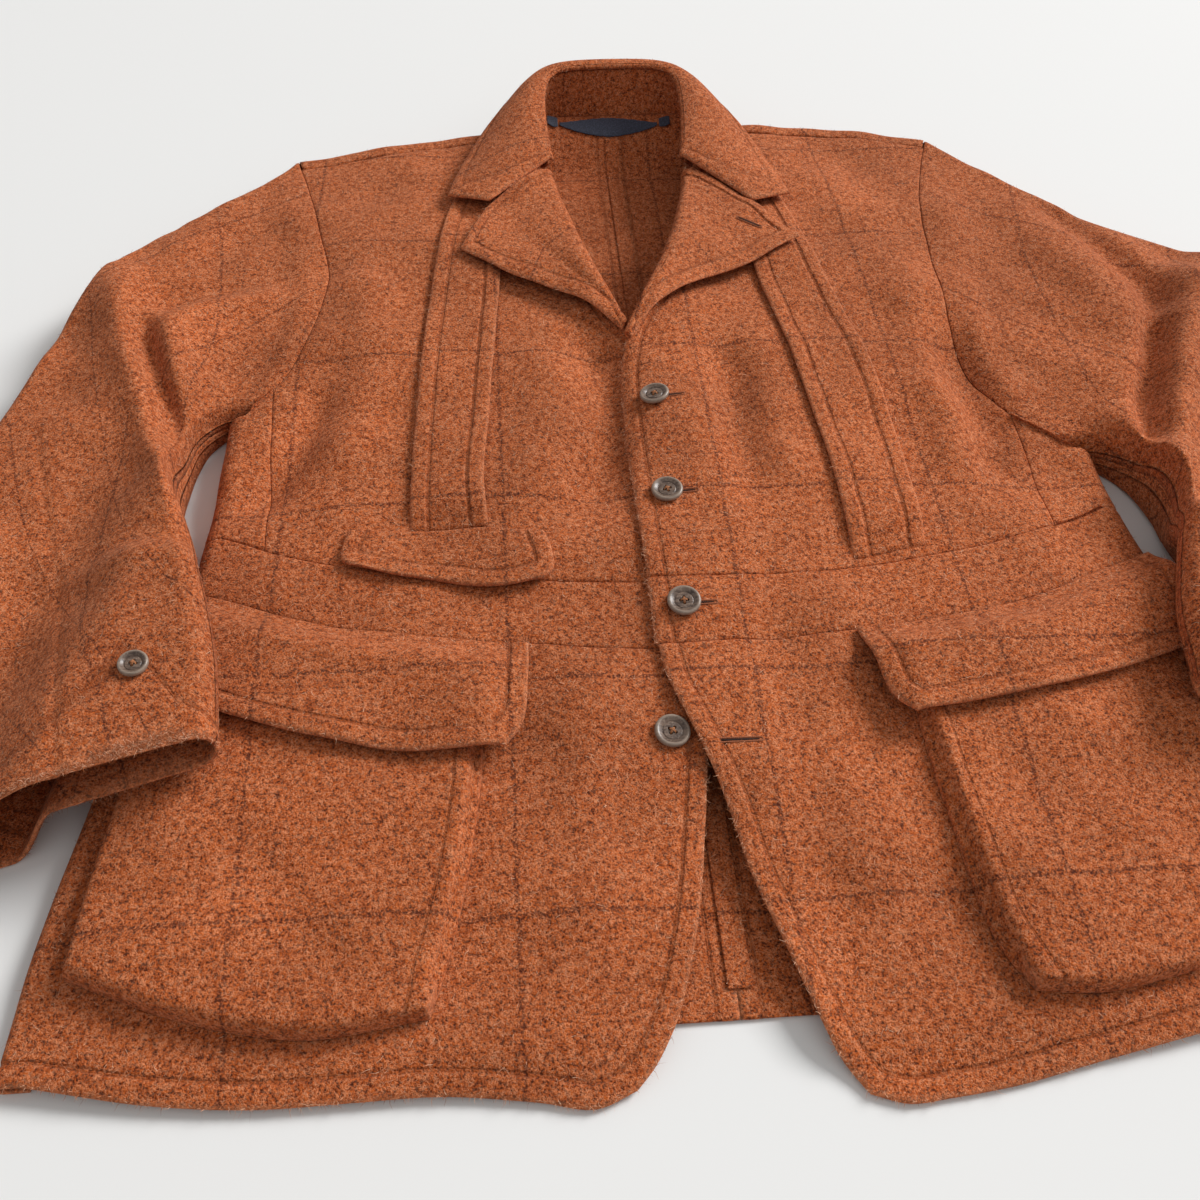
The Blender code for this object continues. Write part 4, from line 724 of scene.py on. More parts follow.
# Lapels: the roll line, the outer edge up to the tip, and the gorge with the notch
lapel = {
    "right": {"roll": [(-0.0135, 0.503), (-0.0200, 0.524), (-0.031, 0.557), (-0.042, 0.610), (-0.051, 0.655),
                       (-0.056, 0.690)],
              "edge": [(-0.0165, 0.497), (-0.027, 0.510), (-0.040, 0.523), (-0.062, 0.539), (-0.092, 0.558),
                       (-0.125, 0.588)],
              "gorge": [(-0.056, 0.6935), (-0.080, 0.6705), (-0.103, 0.6470), (-0.114, 0.618), (-0.125, 0.588)]},
    "left": {"roll": [(-0.0150, 0.490), (0.002, 0.529), (0.013, 0.555), (0.029, 0.602), (0.041, 0.650),
                      (0.048, 0.690)],
             "edge": [(-0.0120, 0.486), (0.007, 0.511), (0.026, 0.529), (0.048, 0.546), (0.080, 0.564),
                      (0.121, 0.592)],
             "gorge": [(0.048, 0.6935), (0.070, 0.6690), (0.094, 0.6410), (0.107, 0.616), (0.121, 0.592)]},
}

# Collar, from the wearer's right gorge round the neck to the left gorge
# columns: seam x, y, z (where the stand is sewn on), fold x, y, z, outer edge x, y, z
collar = [
    (-0.0600, 0.700, 0.0370, -0.056, 0.694, 0.050, -0.134, 0.662, 0.0400),
    (-0.0650, 0.722, 0.0360, -0.058, 0.722, 0.053, -0.128, 0.690, 0.0380),
    (-0.0680, 0.748, 0.0350, -0.059, 0.753, 0.057, -0.117, 0.724, 0.0380),
    (-0.0660, 0.776, 0.0320, -0.057, 0.785, 0.061, -0.102, 0.762, 0.0390),
    (-0.0550, 0.796, 0.0270, -0.050, 0.804, 0.062, -0.084, 0.803, 0.0340),
    (-0.0340, 0.804, 0.0240, -0.034, 0.813, 0.063, -0.056, 0.837, 0.0220),
    (0.0000, 0.806, 0.0230, 0.000, 0.816, 0.063, 0.000, 0.845, 0.0150),
    (0.0340, 0.806, 0.0240, 0.034, 0.815, 0.063, 0.056, 0.839, 0.0220),
    (0.0550, 0.799, 0.0270, 0.050, 0.806, 0.062, 0.082, 0.806, 0.0340),
    (0.0660, 0.780, 0.0320, 0.055, 0.786, 0.061, 0.098, 0.770, 0.0390),
    (0.0650, 0.752, 0.0350, 0.055, 0.755, 0.057, 0.110, 0.732, 0.0380),
    (0.0610, 0.722, 0.0360, 0.052, 0.722, 0.053, 0.118, 0.694, 0.0380),
    (0.0550, 0.700, 0.0370, 0.048, 0.694, 0.050, 0.126, 0.656, 0.0400),
]
notch = {"right": (-0.103, 0.6475, 0.043), "left": (0.094, 0.6415, 0.043)}
# Buttons: columns name, x, y, across, which front it sits on
buttons = [
    ("button_1", -0.0020, 0.4280, 0.019, "over"),
    ("button_2", -0.0030, 0.3460, 0.019, "over"),
    ("button_3", -0.0030, 0.2610, 0.019, "over"),
    ("button_4", -0.0180, 0.1820, 0.019, "under"),
]
# name, middle, half length, half depth, half depth at the ends, gap under it
neckPieces = [("neck_label", (-0.002, 0.7900), 0.041, 0.0087, 0.0012, 0.0010),
               ("tab_right", (-0.0490, 0.7910), 0.0045, 0.0050, 0.0040, 0.0015),
               ("tab_left", (0.0450, 0.7910), 0.0045, 0.0045, 0.0036, 0.0015)]
cuffButtonAcross = 0.015
cuffButtons = {"right": (-0.284, 0.207), "left": (0.290, 0.262)}

roll = {"side": 0.0120, "strip": 0.0100, "shoulder": 0.0120, "shoulderTurn": 0.0080, "sleeve": 0.0120}
seamGap = 0.0001
centreSeamX = -0.002
neckFlatY = 0.745
neckHalfWidth = 0.054


def foldStart(side, y):
    return sideSign[side] * (halfWidth(y) - roll["side"])


def waistY(x):
    rows = np.asarray(waistSeam)
    return curveThrough(rows[:, 1], np.abs(x), rows[:, 0])[..., 0]


# from startX to the side fold, along the waist seam or beside it
def waistLine(side, startX, shares, liftY=0.0, endX=None):
    if endX is None:
        endX = foldStart(side, 0.29)
        for _ in range(6):
            endX = foldStart(side, waistY(endX) + liftY)
    x = startX + (endX - startX) * shares
    return np.stack([x, waistY(x) + liftY], axis=1)


def armholeDense(side):
    return linePoints(armhole[side], np.linspace(0.0, 1.0, 400))


def underarmIndex(side):
    return int(np.argmin(np.linalg.norm(armholeDense(side) - np.asarray(sideSeam[side][-1]), axis=1)))


def sideLine(side):
    rows = sideSeam[side][:-1] + [tuple(armholeDense(side)[underarmIndex(side)])]
    return linePoints(rows, np.linspace(0.0, 1.0, 60))


def shoulderDense(side):
    return linePoints(shoulderFold[side], np.linspace(0.0, 1.0, 120))[::-1]


def foldY(side, x):
    points = shoulderDense(side)
    order = np.argsort(points[:, 0])
    return np.interp(x, points[order, 0], points[order, 1])


def armholeX(side, y):
    points = armholeDense(side)[:200]
    order = np.argsort(points[:, 1])
    return np.interp(y, points[order, 1], points[order, 0])


# each row goes on round the side fold, x + r cos a and z (1 + sin a)/2, then under, flat on the floor
def rolledPiece(name, side, plan, **words):
    sign = sideSign[side]
    x, y = plan[..., 0], plan[..., 1]
    height = lieHeight(side, x, y)
    hemDrop = smooth((0.030 - y) / 0.030) * np.maximum(height - cloth["wall"] - 0.0008, 0.0)
    height = height - hemDrop if name.startswith("skirt") else height
    grid = np.dstack([plan, height])
    edge = grid[:, -1]
    reach = np.minimum(roll["side"], 0.55 * edge[:, 2])[:, None]
    angles = np.radians(np.linspace(84.0, -90.0, 22))[None]
    rollX = edge[:, :1] + sign * (roll["side"] - reach + reach * np.cos(angles))
    rollZ = edge[:, 2:] * 0.5 * (1 + np.sin(angles))
    rollY = np.repeat(edge[:, 1:2], angles.size, axis=1)
    under = np.linspace(0.0, roll["strip"], 5)[None, 1:]
    underX = rollX[:, -1:] - sign * under
    rolled = np.dstack([np.concatenate([rollX, underX], axis=1),
                        np.concatenate([rollY, np.repeat(edge[:, 1:2], 4, axis=1)], axis=1),
                        np.concatenate([rollZ, np.zeros_like(underX)], axis=1)])
    surface = np.concatenate([grid, rolled], axis=1)
    passed = walked(surface[:, plan.shape[1] - 1:], 1)[:, 1:]
    across = np.concatenate([x, edge[:, :1] + sign * passed], axis=1)
    weave = np.dstack([across, surface[..., 1]])
    inward = inwardOf(surface, plan.shape[0] // 2, plan.shape[1] // 2)
    sewPiece(name, surface, inward, cloth["wall"], weave, **words)


def makeSkirt(side):
    edge = skirtEdge[side]
    columnShares = spacing(0.33, "band", "plain")
    rowShares = spacing(0.24, "band", "seam")
    top = waistLine(side, edge[0][0], columnShares, -seamGap)
    inner = linePoints(edge, 1 - rowShares)
    outerY = hem[side][-1][1] + (top[-1, 1] - hem[side][-1][1]) * rowShares
    outer = np.stack([foldStart(side, outerY), outerY], axis=1)
    bottom = linePoints(hem[side], columnShares)
    bottom[0], bottom[-1], inner[-1] = inner[0], outer[0], top[0]
    plan = patchPoints(bottom, top, inner, outer, columnShares, rowShares)
    rolledPiece("skirt_" + side, side, plan, free=("inner", "bottom"), sewn=("top",),
                stitched=("inner", "bottom"), rests=("back_" + side,))


def makeBelt(side):
    edgeX = 0.018 if side == "right" else -0.0215
    columnShares = spacing(0.33, "band", "plain")
    rowShares = spacing(cloth["beltDepth"], "band", "band")
    bottom = waistLine(side, edgeX, columnShares)
    top = waistLine(side, edgeX, columnShares, cloth["beltDepth"])
    inner = bottom[0] + (top[0] - bottom[0]) * rowShares[:, None]
    outer = bottom[-1] + (top[-1] - bottom[-1]) * rowShares[:, None]
    outer[:, 0] = foldStart(side, outer[:, 1])
    plan = patchPoints(bottom, top, inner, outer, columnShares, rowShares)
    rolledPiece("belt_" + side, side, plan, free=("inner",), sewn=("bottom", "top"),
                stitched=("inner",), rests=("back_" + side,))


def makeFront(side):
    sign = sideSign[side]
    seamX, edgeX = sideSeam[side][0][0], frontEdge[side][0][0]
    columnShares = spacing(0.21, "band", "seam")
    bottom = waistLine(side, edgeX, columnShares, cloth["beltDepth"] + seamGap, seamX - sign * seamGap)
    rising = armholeDense(side)[:underarmIndex(side) + 1][::-1]
    neckEnd = shoulderDense(side)[0]
    strip = roll["shoulder"] + roll["shoulderTurn"] + seamGap
    endX = rising[-1, 0]
    for _ in range(6):
        endX = armholeX(side, foldY(side, endX) - strip) - sign * seamGap
    shoulderX = neckEnd[0] + (endX - neckEnd[0]) * columnShares
    shoulder = np.stack([shoulderX, foldY(side, shoulderX) - strip], axis=1)
    rising = rising[rising[:, 1] < shoulder[-1, 1] - 0.001]
    seam = sideLine(side)
    outerLine = np.concatenate([seam[:-1], rising])
    outerLine[:, 0] -= sign * seamGap
    outerLine[0] = bottom[-1]
    outerLine = np.concatenate([outerLine, shoulder[-1:]])
    rowShares = spacing(0.46, "seam", "seam")
    outer = resample(outerLine, rowShares)
    inner = linePoints(frontEdge[side], rowShares)
    inner[0], inner[-1], bottom[-1] = bottom[0], shoulder[0], outer[0]
    plan = patchPoints(bottom, shoulder, inner, outer, columnShares, rowShares)
    surface = np.dstack([plan, lieHeight(side, plan[..., 0], plan[..., 1])])
    inward = inwardOf(surface, 40, 30)
    sewPiece("front_" + side, surface, inward, cloth["wall"], plan, free=("inner",),
             sewn=("bottom", "outer", "top"), stitched=("inner",), rests=("back_" + side,))


def makeSide(side):
    sign = sideSign[side]
    seam = sideLine(side)
    seam[:, 0] += sign * seamGap
    columnShares = spacing(0.030, "seam", "plain", 0.0022)
    rowShares = spacing(0.12, "seam", "seam", 0.0025)
    bottom = waistLine(side, seam[0, 0], columnShares, cloth["beltDepth"] + seamGap)
    inner = resample(seam, rowShares)
    points = armholeDense(side)[underarmIndex(side):]
    endY = points[-1, 1] - 0.0060
    endX = foldStart(side, endY)
    topX = inner[-1, 0] + (endX - inner[-1, 0]) * columnShares
    points = np.concatenate([points, [[endX, endY + 0.0012]]])
    order = np.argsort(points[:, 0])
    topY = np.interp(topX, points[order, 0], points[order, 1]) - 0.0012
    top = np.stack([topX, topY], axis=1)
    inner[0], inner[-1] = bottom[0], top[0]
    outerY = bottom[-1, 1] + (endY - bottom[-1, 1]) * rowShares
    outer = np.stack([foldStart(side, outerY), outerY], axis=1)
    plan = patchPoints(bottom, top, inner, outer, columnShares, rowShares)
    rolledPiece("side_" + side, side, plan, sewn=("bottom", "inner", "top"), rests=("back_" + side,))


def collarStations(places):
    rows = np.asarray(collar)
    return curveThrough(rows, places, np.linspace(0.0, 1.0, len(rows)))


# where the back meets the foot of the collar stand: y and z for each x
def neckLine(x):
    stations = collarStations(np.linspace(0.25, 0.75, 200))
    order = np.argsort(stations[:, 0])
    y = np.interp(x, stations[order, 0], stations[order, 1])
    z = np.interp(x, stations[order, 0], stations[order, 2])
    return y - 0.5 * cloth["wall"] - 2 * seamGap, z + seamGap


# flat on the floor, then round the shoulder fold; near the neck it ramps up to the collar seam instead
def makeBack(side):
    sign = sideSign[side]
    wall = cloth["wall"]
    centreX = centreSeamX + sign * 0.5 * seamGap
    sideY = np.linspace(backHemY, armhole[side][-1][1] - 0.006, 80)
    sideX = sign * (halfWidth(sideY) - roll["side"] - roll["strip"] - 0.0020)
    rising = armholeDense(side)[:underarmIndex(side) + 1][::-1]
    endX = rising[-1, 0]
    for _ in range(6):
        endX = armholeX(side, foldY(side, endX) - roll["shoulder"]) - sign * 0.0012
    neckX = shoulderDense(side)[0, 0]
    neckCount = 22
    shoulderX = np.linspace(neckX, endX, 60)
    shoulder = np.stack([shoulderX, foldY(side, shoulderX) - roll["shoulder"]], axis=1)
    rising = rising[rising[:, 1] < shoulder[-1, 1] - 0.001]
    rising[:, 0] -= sign * 1.5 * seamGap
    rowShares = spacing(0.75, "seam", "plain", 0.006)
    outer = resample(np.concatenate([np.stack([sideX, sideY], axis=1), rising, shoulder[-1:]]), rowShares)
    neck = np.stack([centreX + (neckX - centreX) * np.linspace(0, 1, neckCount + 1)[:-1],
                     np.full(neckCount, neckFlatY)], axis=1)
    top = np.concatenate([neck, shoulder])
    columns = len(top)
    shares = np.linspace(0.0, 1.0, columns)
    bottom = np.stack([centreX + (outer[0, 0] - centreX) * shares, np.full(columns, backHemY)], axis=1)
    innerY = backHemY + (neckFlatY - backHemY) * rowShares
    inner = np.stack([np.full(len(rowShares), centreX), innerY], axis=1)
    top[-1] = outer[-1]
    flat = patchPoints(bottom, top, inner, outer, shares, rowShares)
    edge = flat[-1]
    height = frontHeight(edge[:, 0], edge[:, 1])
    neckShare = smooth((np.abs(neckX) + 0.010 - np.abs(edge[:, 0])) / 0.020)
    steps = np.concatenate([np.linspace(0.0, 5.0, 26), [5.4, 5.8, 6.0]])
    angles = np.radians(np.interp(steps, range(7), [-90.0, -45.0, -10.0, 25.0, 60.0, 90.0, 90.0]))
    turns = roll["shoulderTurn"] * np.clip(steps - 5.0, 0.0, 1.0)
    rolled, ramped = [], []
    for step, angle, turn in zip(steps, angles, turns):
        back = roll["shoulder"] * (math.cos(angle) - 1 if step > 0 else 0.0) - turn
        x = edge[:, 0]
        for _ in range(4):
            shift = armholeX(side, foldY(side, x[-1]) + back) - sign * 0.0012 - edge[-1, 0]
            x = edge[:, 0] + (shares ** 4) * shift * min(step, 1.0)
        rolled.append(np.stack([x, foldY(side, x) + back, height * 0.5 * (1 + math.sin(angle))], axis=1))
        seamY, seamZ = neckLine(np.clip(x, -neckHalfWidth, neckHalfWidth))
        rampY = edge[:, 1] + (seamY - edge[:, 1]) * step / 6.0
        ramped.append(np.stack([x, rampY, seamZ * smooth(np.array(step / 6.0))], axis=1))
    rolled[0] = np.column_stack([edge, np.zeros(columns)])
    mix = neckShare[:, None]
    path = np.stack(rolled) * (1 - mix) + np.stack(ramped) * mix
    slope = np.gradient(np.stack(ramped), axis=0)
    rampAngle = np.arctan2(-slope[..., 1], slope[..., 2])
    rampAngle[0] = angles[0]
    facing = angles[:, None] * (1 - neckShare) + rampAngle * neckShare
    inwardPath = -np.dstack([np.zeros(facing.shape), np.cos(facing), np.sin(facing)])
    surface = np.concatenate([np.dstack([flat, np.zeros(flat.shape[:2])]), path[1:]])
    inward = np.concatenate([-upright(flat.shape[:2]), inwardPath[1:]])
    climbed = walked(path, 0)[1:]
    weave = np.concatenate([flat, np.dstack([path[1:, :, 0], edge[:, 1] + climbed])])
    sewPiece("back_" + side, surface, inward, wall, weave, free=("bottom",), sewn=("inner", "top"),
             stitched=("inner",), rests=("floor",))


def backInside(x, y):
    seamY, seamZ = neckLine(x)
    return cloth["wall"] + seamZ * smooth((y - neckFlatY) / (seamY - neckFlatY))


tapeLook = {"foot": 0.050, "long": 0.730, "wide": 0.012, "startX": -0.006}


def makeBackTape():
    look = tapeLook
    y = look["foot"] + look["long"] * spacing(look["long"])
    x = look["startX"] + look["wide"] * spacing(look["wide"], "seam", "seam", 0.0015)
    plan = np.dstack(np.meshgrid(x, y))
    surface = np.dstack([plan, backInside(plan[..., 0], plan[..., 1]) + cloth["layGap"] + cloth["tapeWall"]])
    sewPiece("back_tape", surface, upright(plan.shape[:2]), cloth["tapeWall"], plan,
             free=("inner", "outer", "bottom", "top"), rests=("back_right", "back_left"))


strapLook = {"lift": 0.0014, "footDrop": 0.0036, "thicker": 0.0004, "footLong": 0.05}


# lies on the front, its foot pressed down
def makeStrap(side):
    look = strapLook
    rowShares = spacing(0.375, "plain", "seam")
    across = spacing(0.045, "band", "band")[None, :, None]
    inner, outer = linePoints(strap[side]["inner"], rowShares), linePoints(strap[side]["outer"], rowShares)
    plan = inner[:, None] * (1 - across) + outer[:, None] * across
    foot = 1 - smooth(rowShares / look["footLong"])[:, None]
    layPiece("strap_" + side, side, plan, look["lift"] - look["footDrop"] * foot, cloth["wall"] + look["thicker"],
             free=("inner", "outer"), sewn=("top",), stitched=("inner", "outer"), rests=("front_" + side,))


breastFlapLook = {"curl": 0.0034, "uneven": 0.4, "waves": 9.0}


# curls up toward its lower edge by c (1 - t)^2 (0.6 + 0.4 sin), t being the share of the way up
def makeBreastFlap():
    look = breastFlapLook
    columnShares = spacing(0.115, "band", "band", 0.0022)
    rowShares = spacing(0.036, "band", "seam", 0.0022)
    top, bottom = linePoints(breastFlap["top"], columnShares), linePoints(breastFlap["bottom"], columnShares)
    inner, outer = (linePoints(breastFlap[edge], 1 - rowShares) for edge in ("inner", "outer"))
    plan = patchPoints(bottom, top, inner, outer, columnShares, rowShares)
    across = np.linspace(0.0, 1.0, plan.shape[1])[None]
    wave = 0.6 + look["uneven"] * np.sin(across * look["waves"])
    curl = look["curl"] * (1 - rowShares[:, None]) ** 2 * wave
    layPiece("breast_flap", "right", plan, cloth["layGap"] + curl, cloth["doubleWall"],
             free=("inner", "outer", "bottom"), sewn=("top",), stitched=("inner", "outer", "bottom"),
             rests=("front_right",))


pocketLook = {"ledgeWide": 0.0042, "ledgeRise": 0.34, "faceRound": 0.0046, "crown": 0.0012}


# Face raised over the skirt by the bellows: depth (l q(d/a) + (1 - l) q((d - s)/b)), q the quarter round,
# d the distance in from the edge and s the ledge of the folded side piece, which shows beside the inner
# edge only.
def makePocket(side):
    shape = pocket[side]
    columnShares = spacing(0.180, "band", "band")
    rowShares = spacing(0.185, "band", "plain")
    inner, outer = linePoints(shape["inner"], 1 - rowShares), linePoints(shape["outer"], 1 - rowShares)
    bottom = linePoints(shape["bottom"], columnShares)
    top = inner[-1] + (outer[-1] - inner[-1]) * columnShares[:, None]
    bottom[0], bottom[-1] = inner[0], outer[0]
    plan = patchPoints(bottom, top, inner, outer, columnShares, rowShares)
    x, y = plan[..., 0], plan[..., 1]
    gap, _ = edgeGap(plan, ("inner", "outer", "bottom"))
    look = pocketLook
    fromInner, _ = edgeGap(plan, ("inner",))
    fromBottom, _ = edgeGap(plan, ("bottom",))
    step = look["ledgeWide"] * (1 - smooth((fromInner - 0.010) / 0.008))
    step = step * smooth((fromBottom - 0.006) / 0.020)
    ledge = look["ledgeRise"] * roundEdge(gap, 0.0018)
    face = (1 - look["ledgeRise"]) * roundEdge(gap - step, look["faceRound"])
    base = lieHeight(side, x, y) + cloth["layGap"]
    across = np.linspace(0.0, 1.0, plan.shape[1])[None]
    crown = look["crown"] * np.sin(across * math.pi) * roundEdge(gap, 0.030)
    crown = crown + ripple(x, y, [(0.060, 100, 1.1, 0.0005), (0.043, 40, 0.3, 0.0003)]) * smooth(gap / 0.03)
    rise = np.maximum((cloth["pocketDepth"] - cloth["layGap"]) * (ledge + face), 0.0003)
    surface = np.dstack([plan, base + rise + crown])
    room = np.minimum(rise, cloth["wall"])
    thick = np.where(gap < step + 0.002, room, cloth["wall"])
    stitchGap, along = edgeGap(plan, ("inner",))
    stitchGap = stitchGap - step
    groove = seamRelief["grooveDip"] * bell(stitchGap - tweedLook["stitchIn"], 0.0012)
    surface[..., 2] -= groove
    under = surface.copy()
    under[..., 2] -= thick
    under[..., 2] = np.maximum(under[..., 2], base)
    surface[..., 2] = np.maximum(surface[..., 2], under[..., 2] + 0.0002)
    stitchGap = np.where(stitchGap < 0.0, 0.3, stitchGap)
    piece = closedWall("pocket_" + side, surface, under, plan, np.dstack([stitchGap, along]), tweed)
    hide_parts("pocket_" + side)
    print("piece: pocket_" + side, plan.shape[:2])


pocketFlapLook = {"clear": 0.0032, "edgeLift": 0.0009, "droop": 0.45, "waveRise": 0.0007, "waveRate": 95.0}


# stands off the pocket below the seam, drooping toward its inner end, with a small wave
def makePocketFlap(side):
    look = pocketFlapLook
    shape = pocketFlap[side]
    columnShares = spacing(0.190, "band", "band")
    rowShares = spacing(0.078, "band", "seam", 0.0025)
    inner, outer = linePoints(shape["inner"], 1 - rowShares), linePoints(shape["outer"], 1 - rowShares)
    bottom = linePoints(shape["bottom"], columnShares)
    topX = inner[-1, 0] + (outer[-1, 0] - inner[-1, 0]) * columnShares
    top = np.stack([topX, waistY(topX) - 0.0015], axis=1)
    inner[0], outer[0] = bottom[0], bottom[-1]
    inner[-1], outer[-1] = top[0], top[-1]
    plan = patchPoints(bottom, top, inner, outer, columnShares, rowShares)
    drop = smooth((waistY(plan[..., 0]) - plan[..., 1]) / 0.030)
    droop = look["droop"] * smooth((0.116 - np.abs(plan[..., 0])) / 0.024)
    below = smooth((waistY(plan[..., 0]) - plan[..., 1]) / 0.06)
    waves = look["waveRise"] * np.sin(plan[..., 0] * look["waveRate"] + 0.8) * below
    lift = cloth["layGap"] + drop * (cloth["pocketDepth"] + look["clear"]) * (1 - droop) + waves
    lift = lift + look["edgeLift"] * drop
    layPiece("pocket_flap_" + side, side, plan, lift, cloth["doubleWall"],
             free=("inner", "outer", "bottom"), sewn=("top",), stitched=("inner", "outer", "bottom"),
             rests=("skirt_" + side,))


lapelLook = {"radius": 0.0056, "leg": 0.8, "clear": 0.0068, "puff": 0.0016}


# turned under at the roll line (a half circle of radius r), then lying outward over the front
def makeLapel(side):
    shape = lapel[side]
    rowShares = spacing(0.20, "seam", "band", 0.0028)
    columnShares = spacing(0.085, "plain", "band", 0.0028)
    rollLine, edge = linePoints(shape["roll"], rowShares), linePoints(shape["edge"], rowShares)
    gorge = linePoints(shape["gorge"], columnShares)
    gorge[0], gorge[-1] = rollLine[-1], edge[-1]
    start = rollLine[0] + (edge[0] - rollLine[0]) * columnShares[:, None]
    plan = patchPoints(start, gorge, rollLine, edge, columnShares, rowShares)
    outward = plan[:, len(columnShares) // 3] - plan[:, 0]
    outward = outward / np.maximum(np.linalg.norm(outward, axis=1), 1e-9)[:, None]
    opening = (0.24 + 0.76 * smooth(rowShares * 4.5))[:, None]
    radius = lapelLook["radius"] * (0.30 + 0.78 * smooth(rowShares * 2.8))[:, None]
    share = columnShares[None]
    plan = plan + outward[:, None] * (radius * (1 - share) ** 2)[..., None]
    rest = cloth["layGap"] + 0.5 * cloth["wall"]
    base = lieHeight(side, plan[..., 0], plan[..., 1])
    puff = lapelLook["puff"] * opening * np.sin(share * math.pi)
    puff = puff + 0.0006 * np.sin(rowShares * 21.0 + 1.0)[:, None] * np.sin(share * math.pi)
    rolling, clear = 2 * radius * (1 - smooth(share)), lapelLook["clear"] * opening * smooth(share * 3)
    lift = rest + puff + np.maximum(rolling, clear)
    leaf = np.dstack([plan, base + lift])
    angles = np.radians(np.linspace(-90.0, 82.0, 22))
    leg = np.linspace(lapelLook["leg"], 0.0, 5)[:-1]
    turn = [(radius[:, 0] * (1 + part), -0.5 * math.pi) for part in leg]
    turn += [(radius[:, 0] * (1 - math.cos(angle)), angle) for angle in angles]
    folded = []
    for reach, angle in turn:
        point = rollLine + outward * reach[:, None]
        level = base[:, 0] + rest + radius[:, 0] * (1 + math.sin(angle))
        folded.append(np.column_stack([point, level]))
    middle = np.concatenate([np.stack(folded, axis=1), leaf], axis=1)
    inward = inwardOf(middle, len(rowShares) // 2, -8)
    surface = middle - inward * 0.5 * cloth["wall"]
    across = walked(middle, 1)
    up = np.repeat(rowShares[:, None] * 0.20 + 0.5, across.shape[1], axis=1)
    weave = np.dstack([across * sideSign[side] + 0.02, up])
    sewPiece("lapel_" + side, surface, inward, cloth["wall"], weave, free=("outer", "top", "bottom"),
             stitched=("outer", "top"), rests=("front_" + side,))
    return surface[:, -len(columnShares):]


collarLook = {"standDrop": 0.0040, "standOut": 0.0009, "standBow": 0.0012, "bulge": 0.018, "bulgeRise": 0.004,
              "lip": 0.0022, "puff": 0.0010}


# The stand rises from the neck seam to the fold, bowed out by b sin(pi t). The leaf goes from the fold over
# a control point to its edge, bends to the notch at both ends, and starts with a small lip at the fold.
def makeCollar():
    look = collarLook
    places = spacing(0.40, "seam", "seam", 0.0028)
    stations = collarStations(places)
    seam, fold, edge = stations[:, 0:3], stations[:, 3:6], stations[:, 6:9]
    outward = edge - fold
    outward[:, 2] = 0.0
    outward = outward / np.linalg.norm(outward, axis=1)[:, None]
    rise = spacing(0.032, "seam", "seam", 0.0022)
    standTop = fold - np.array([0.0, 0.0, look["standDrop"]]) + outward * look["standOut"]
    stand = seam[:, None] * (1 - rise[None, :, None]) + standTop[:, None] * rise[None, :, None]
    bow = look["standBow"] * np.sin(rise * math.pi)[None, :, None] * outward[:, None]
    stand = stand + bow
    inward = inwardOf(stand, len(places) // 2, 3, axis=1, way=1.0)
    surface = stand - inward * 0.5 * cloth["wall"]
    along = places * 0.40
    weave = np.dstack([np.repeat(along[:, None], len(rise), axis=1),
                       np.repeat(rise[None] * 0.032, len(along), axis=0)])
    sewPiece("collar_stand", surface, inward, cloth["wall"], weave, free=("bottom", "top"),
             sewn=("inner", "outer"), stitched=(), rests=("back_right", "back_left"))

    share = spacing(0.075, "seam", "band", 0.0026)
    across = share[None, :, None]

    # quadratic curve from the fold over a control point to the edge
    def leafAt(rows):
        first, last = rows[:, None, 3:6], rows[:, None, 6:9]
        way = last - first
        way = way * np.array([1.0, 1.0, 0.0])
        way = way / np.linalg.norm(way, axis=2)[..., None]
        control = first + way * look["bulge"] + np.array([0.0, 0.0, look["bulgeRise"]])
        return first * (1 - across) ** 2 + control * 2 * across * (1 - across) + last * across ** 2

    leaf = leafAt(stations)
    for row, side, near in ((0, "right", places), (-1, "left", 1 - places)):
        tip = np.asarray(notch[side])
        ends = np.stack([fold[row], 0.5 * (fold[row] + tip), tip, 0.5 * (tip + edge[row]), edge[row]])
        shape = np.stack([np.interp(share, [0.0, 0.3, 0.6, 0.8, 1.0], ends[:, k]) for k in range(3)], axis=1)
        onward = leafAt(collarStations(np.array([1 / 24 if row == 0 else 23 / 24])))[0]
        blend = np.clip(near * 24.0, 0.0, 1.0)[:, None, None]
        leaf = np.where(near[:, None, None] < 1 / 24, shape[None] * (1 - blend) + onward[None] * blend, leaf)
    lip = np.linspace(1.0, 0.0, 5)[:-1]
    lips = (fold[:, None] - outward[:, None] * (look["lip"] * np.sin(lip * 1.5))[None, :, None]
            - np.array([0.0, 0.0, 1.0]) * (look["lip"] * (1 - np.cos(lip * 1.5)))[None, :, None])
    puff = (look["puff"] * np.sin(share * math.pi))[None] * (1 + 0.6 * np.sin(places * 17.0))[:, None]
    leaf[..., 2] += puff
    leaf = np.concatenate([lips, leaf], axis=1)
    inward = inwardOf(leaf, len(places) // 2, -8)
    surface = leaf - inward * 0.5 * cloth["doubleWall"]
    passed = walked(leaf, 1)
    weave = np.dstack([np.repeat(along[:, None], passed.shape[1], axis=1), passed])
    sewPiece("collar_leaf", surface, inward, cloth["doubleWall"], weave,
             free=("outer", "bottom", "top", "inner"), stitched=("outer", "bottom", "top"),
             rests=("collar_stand", "back_right", "back_left"))


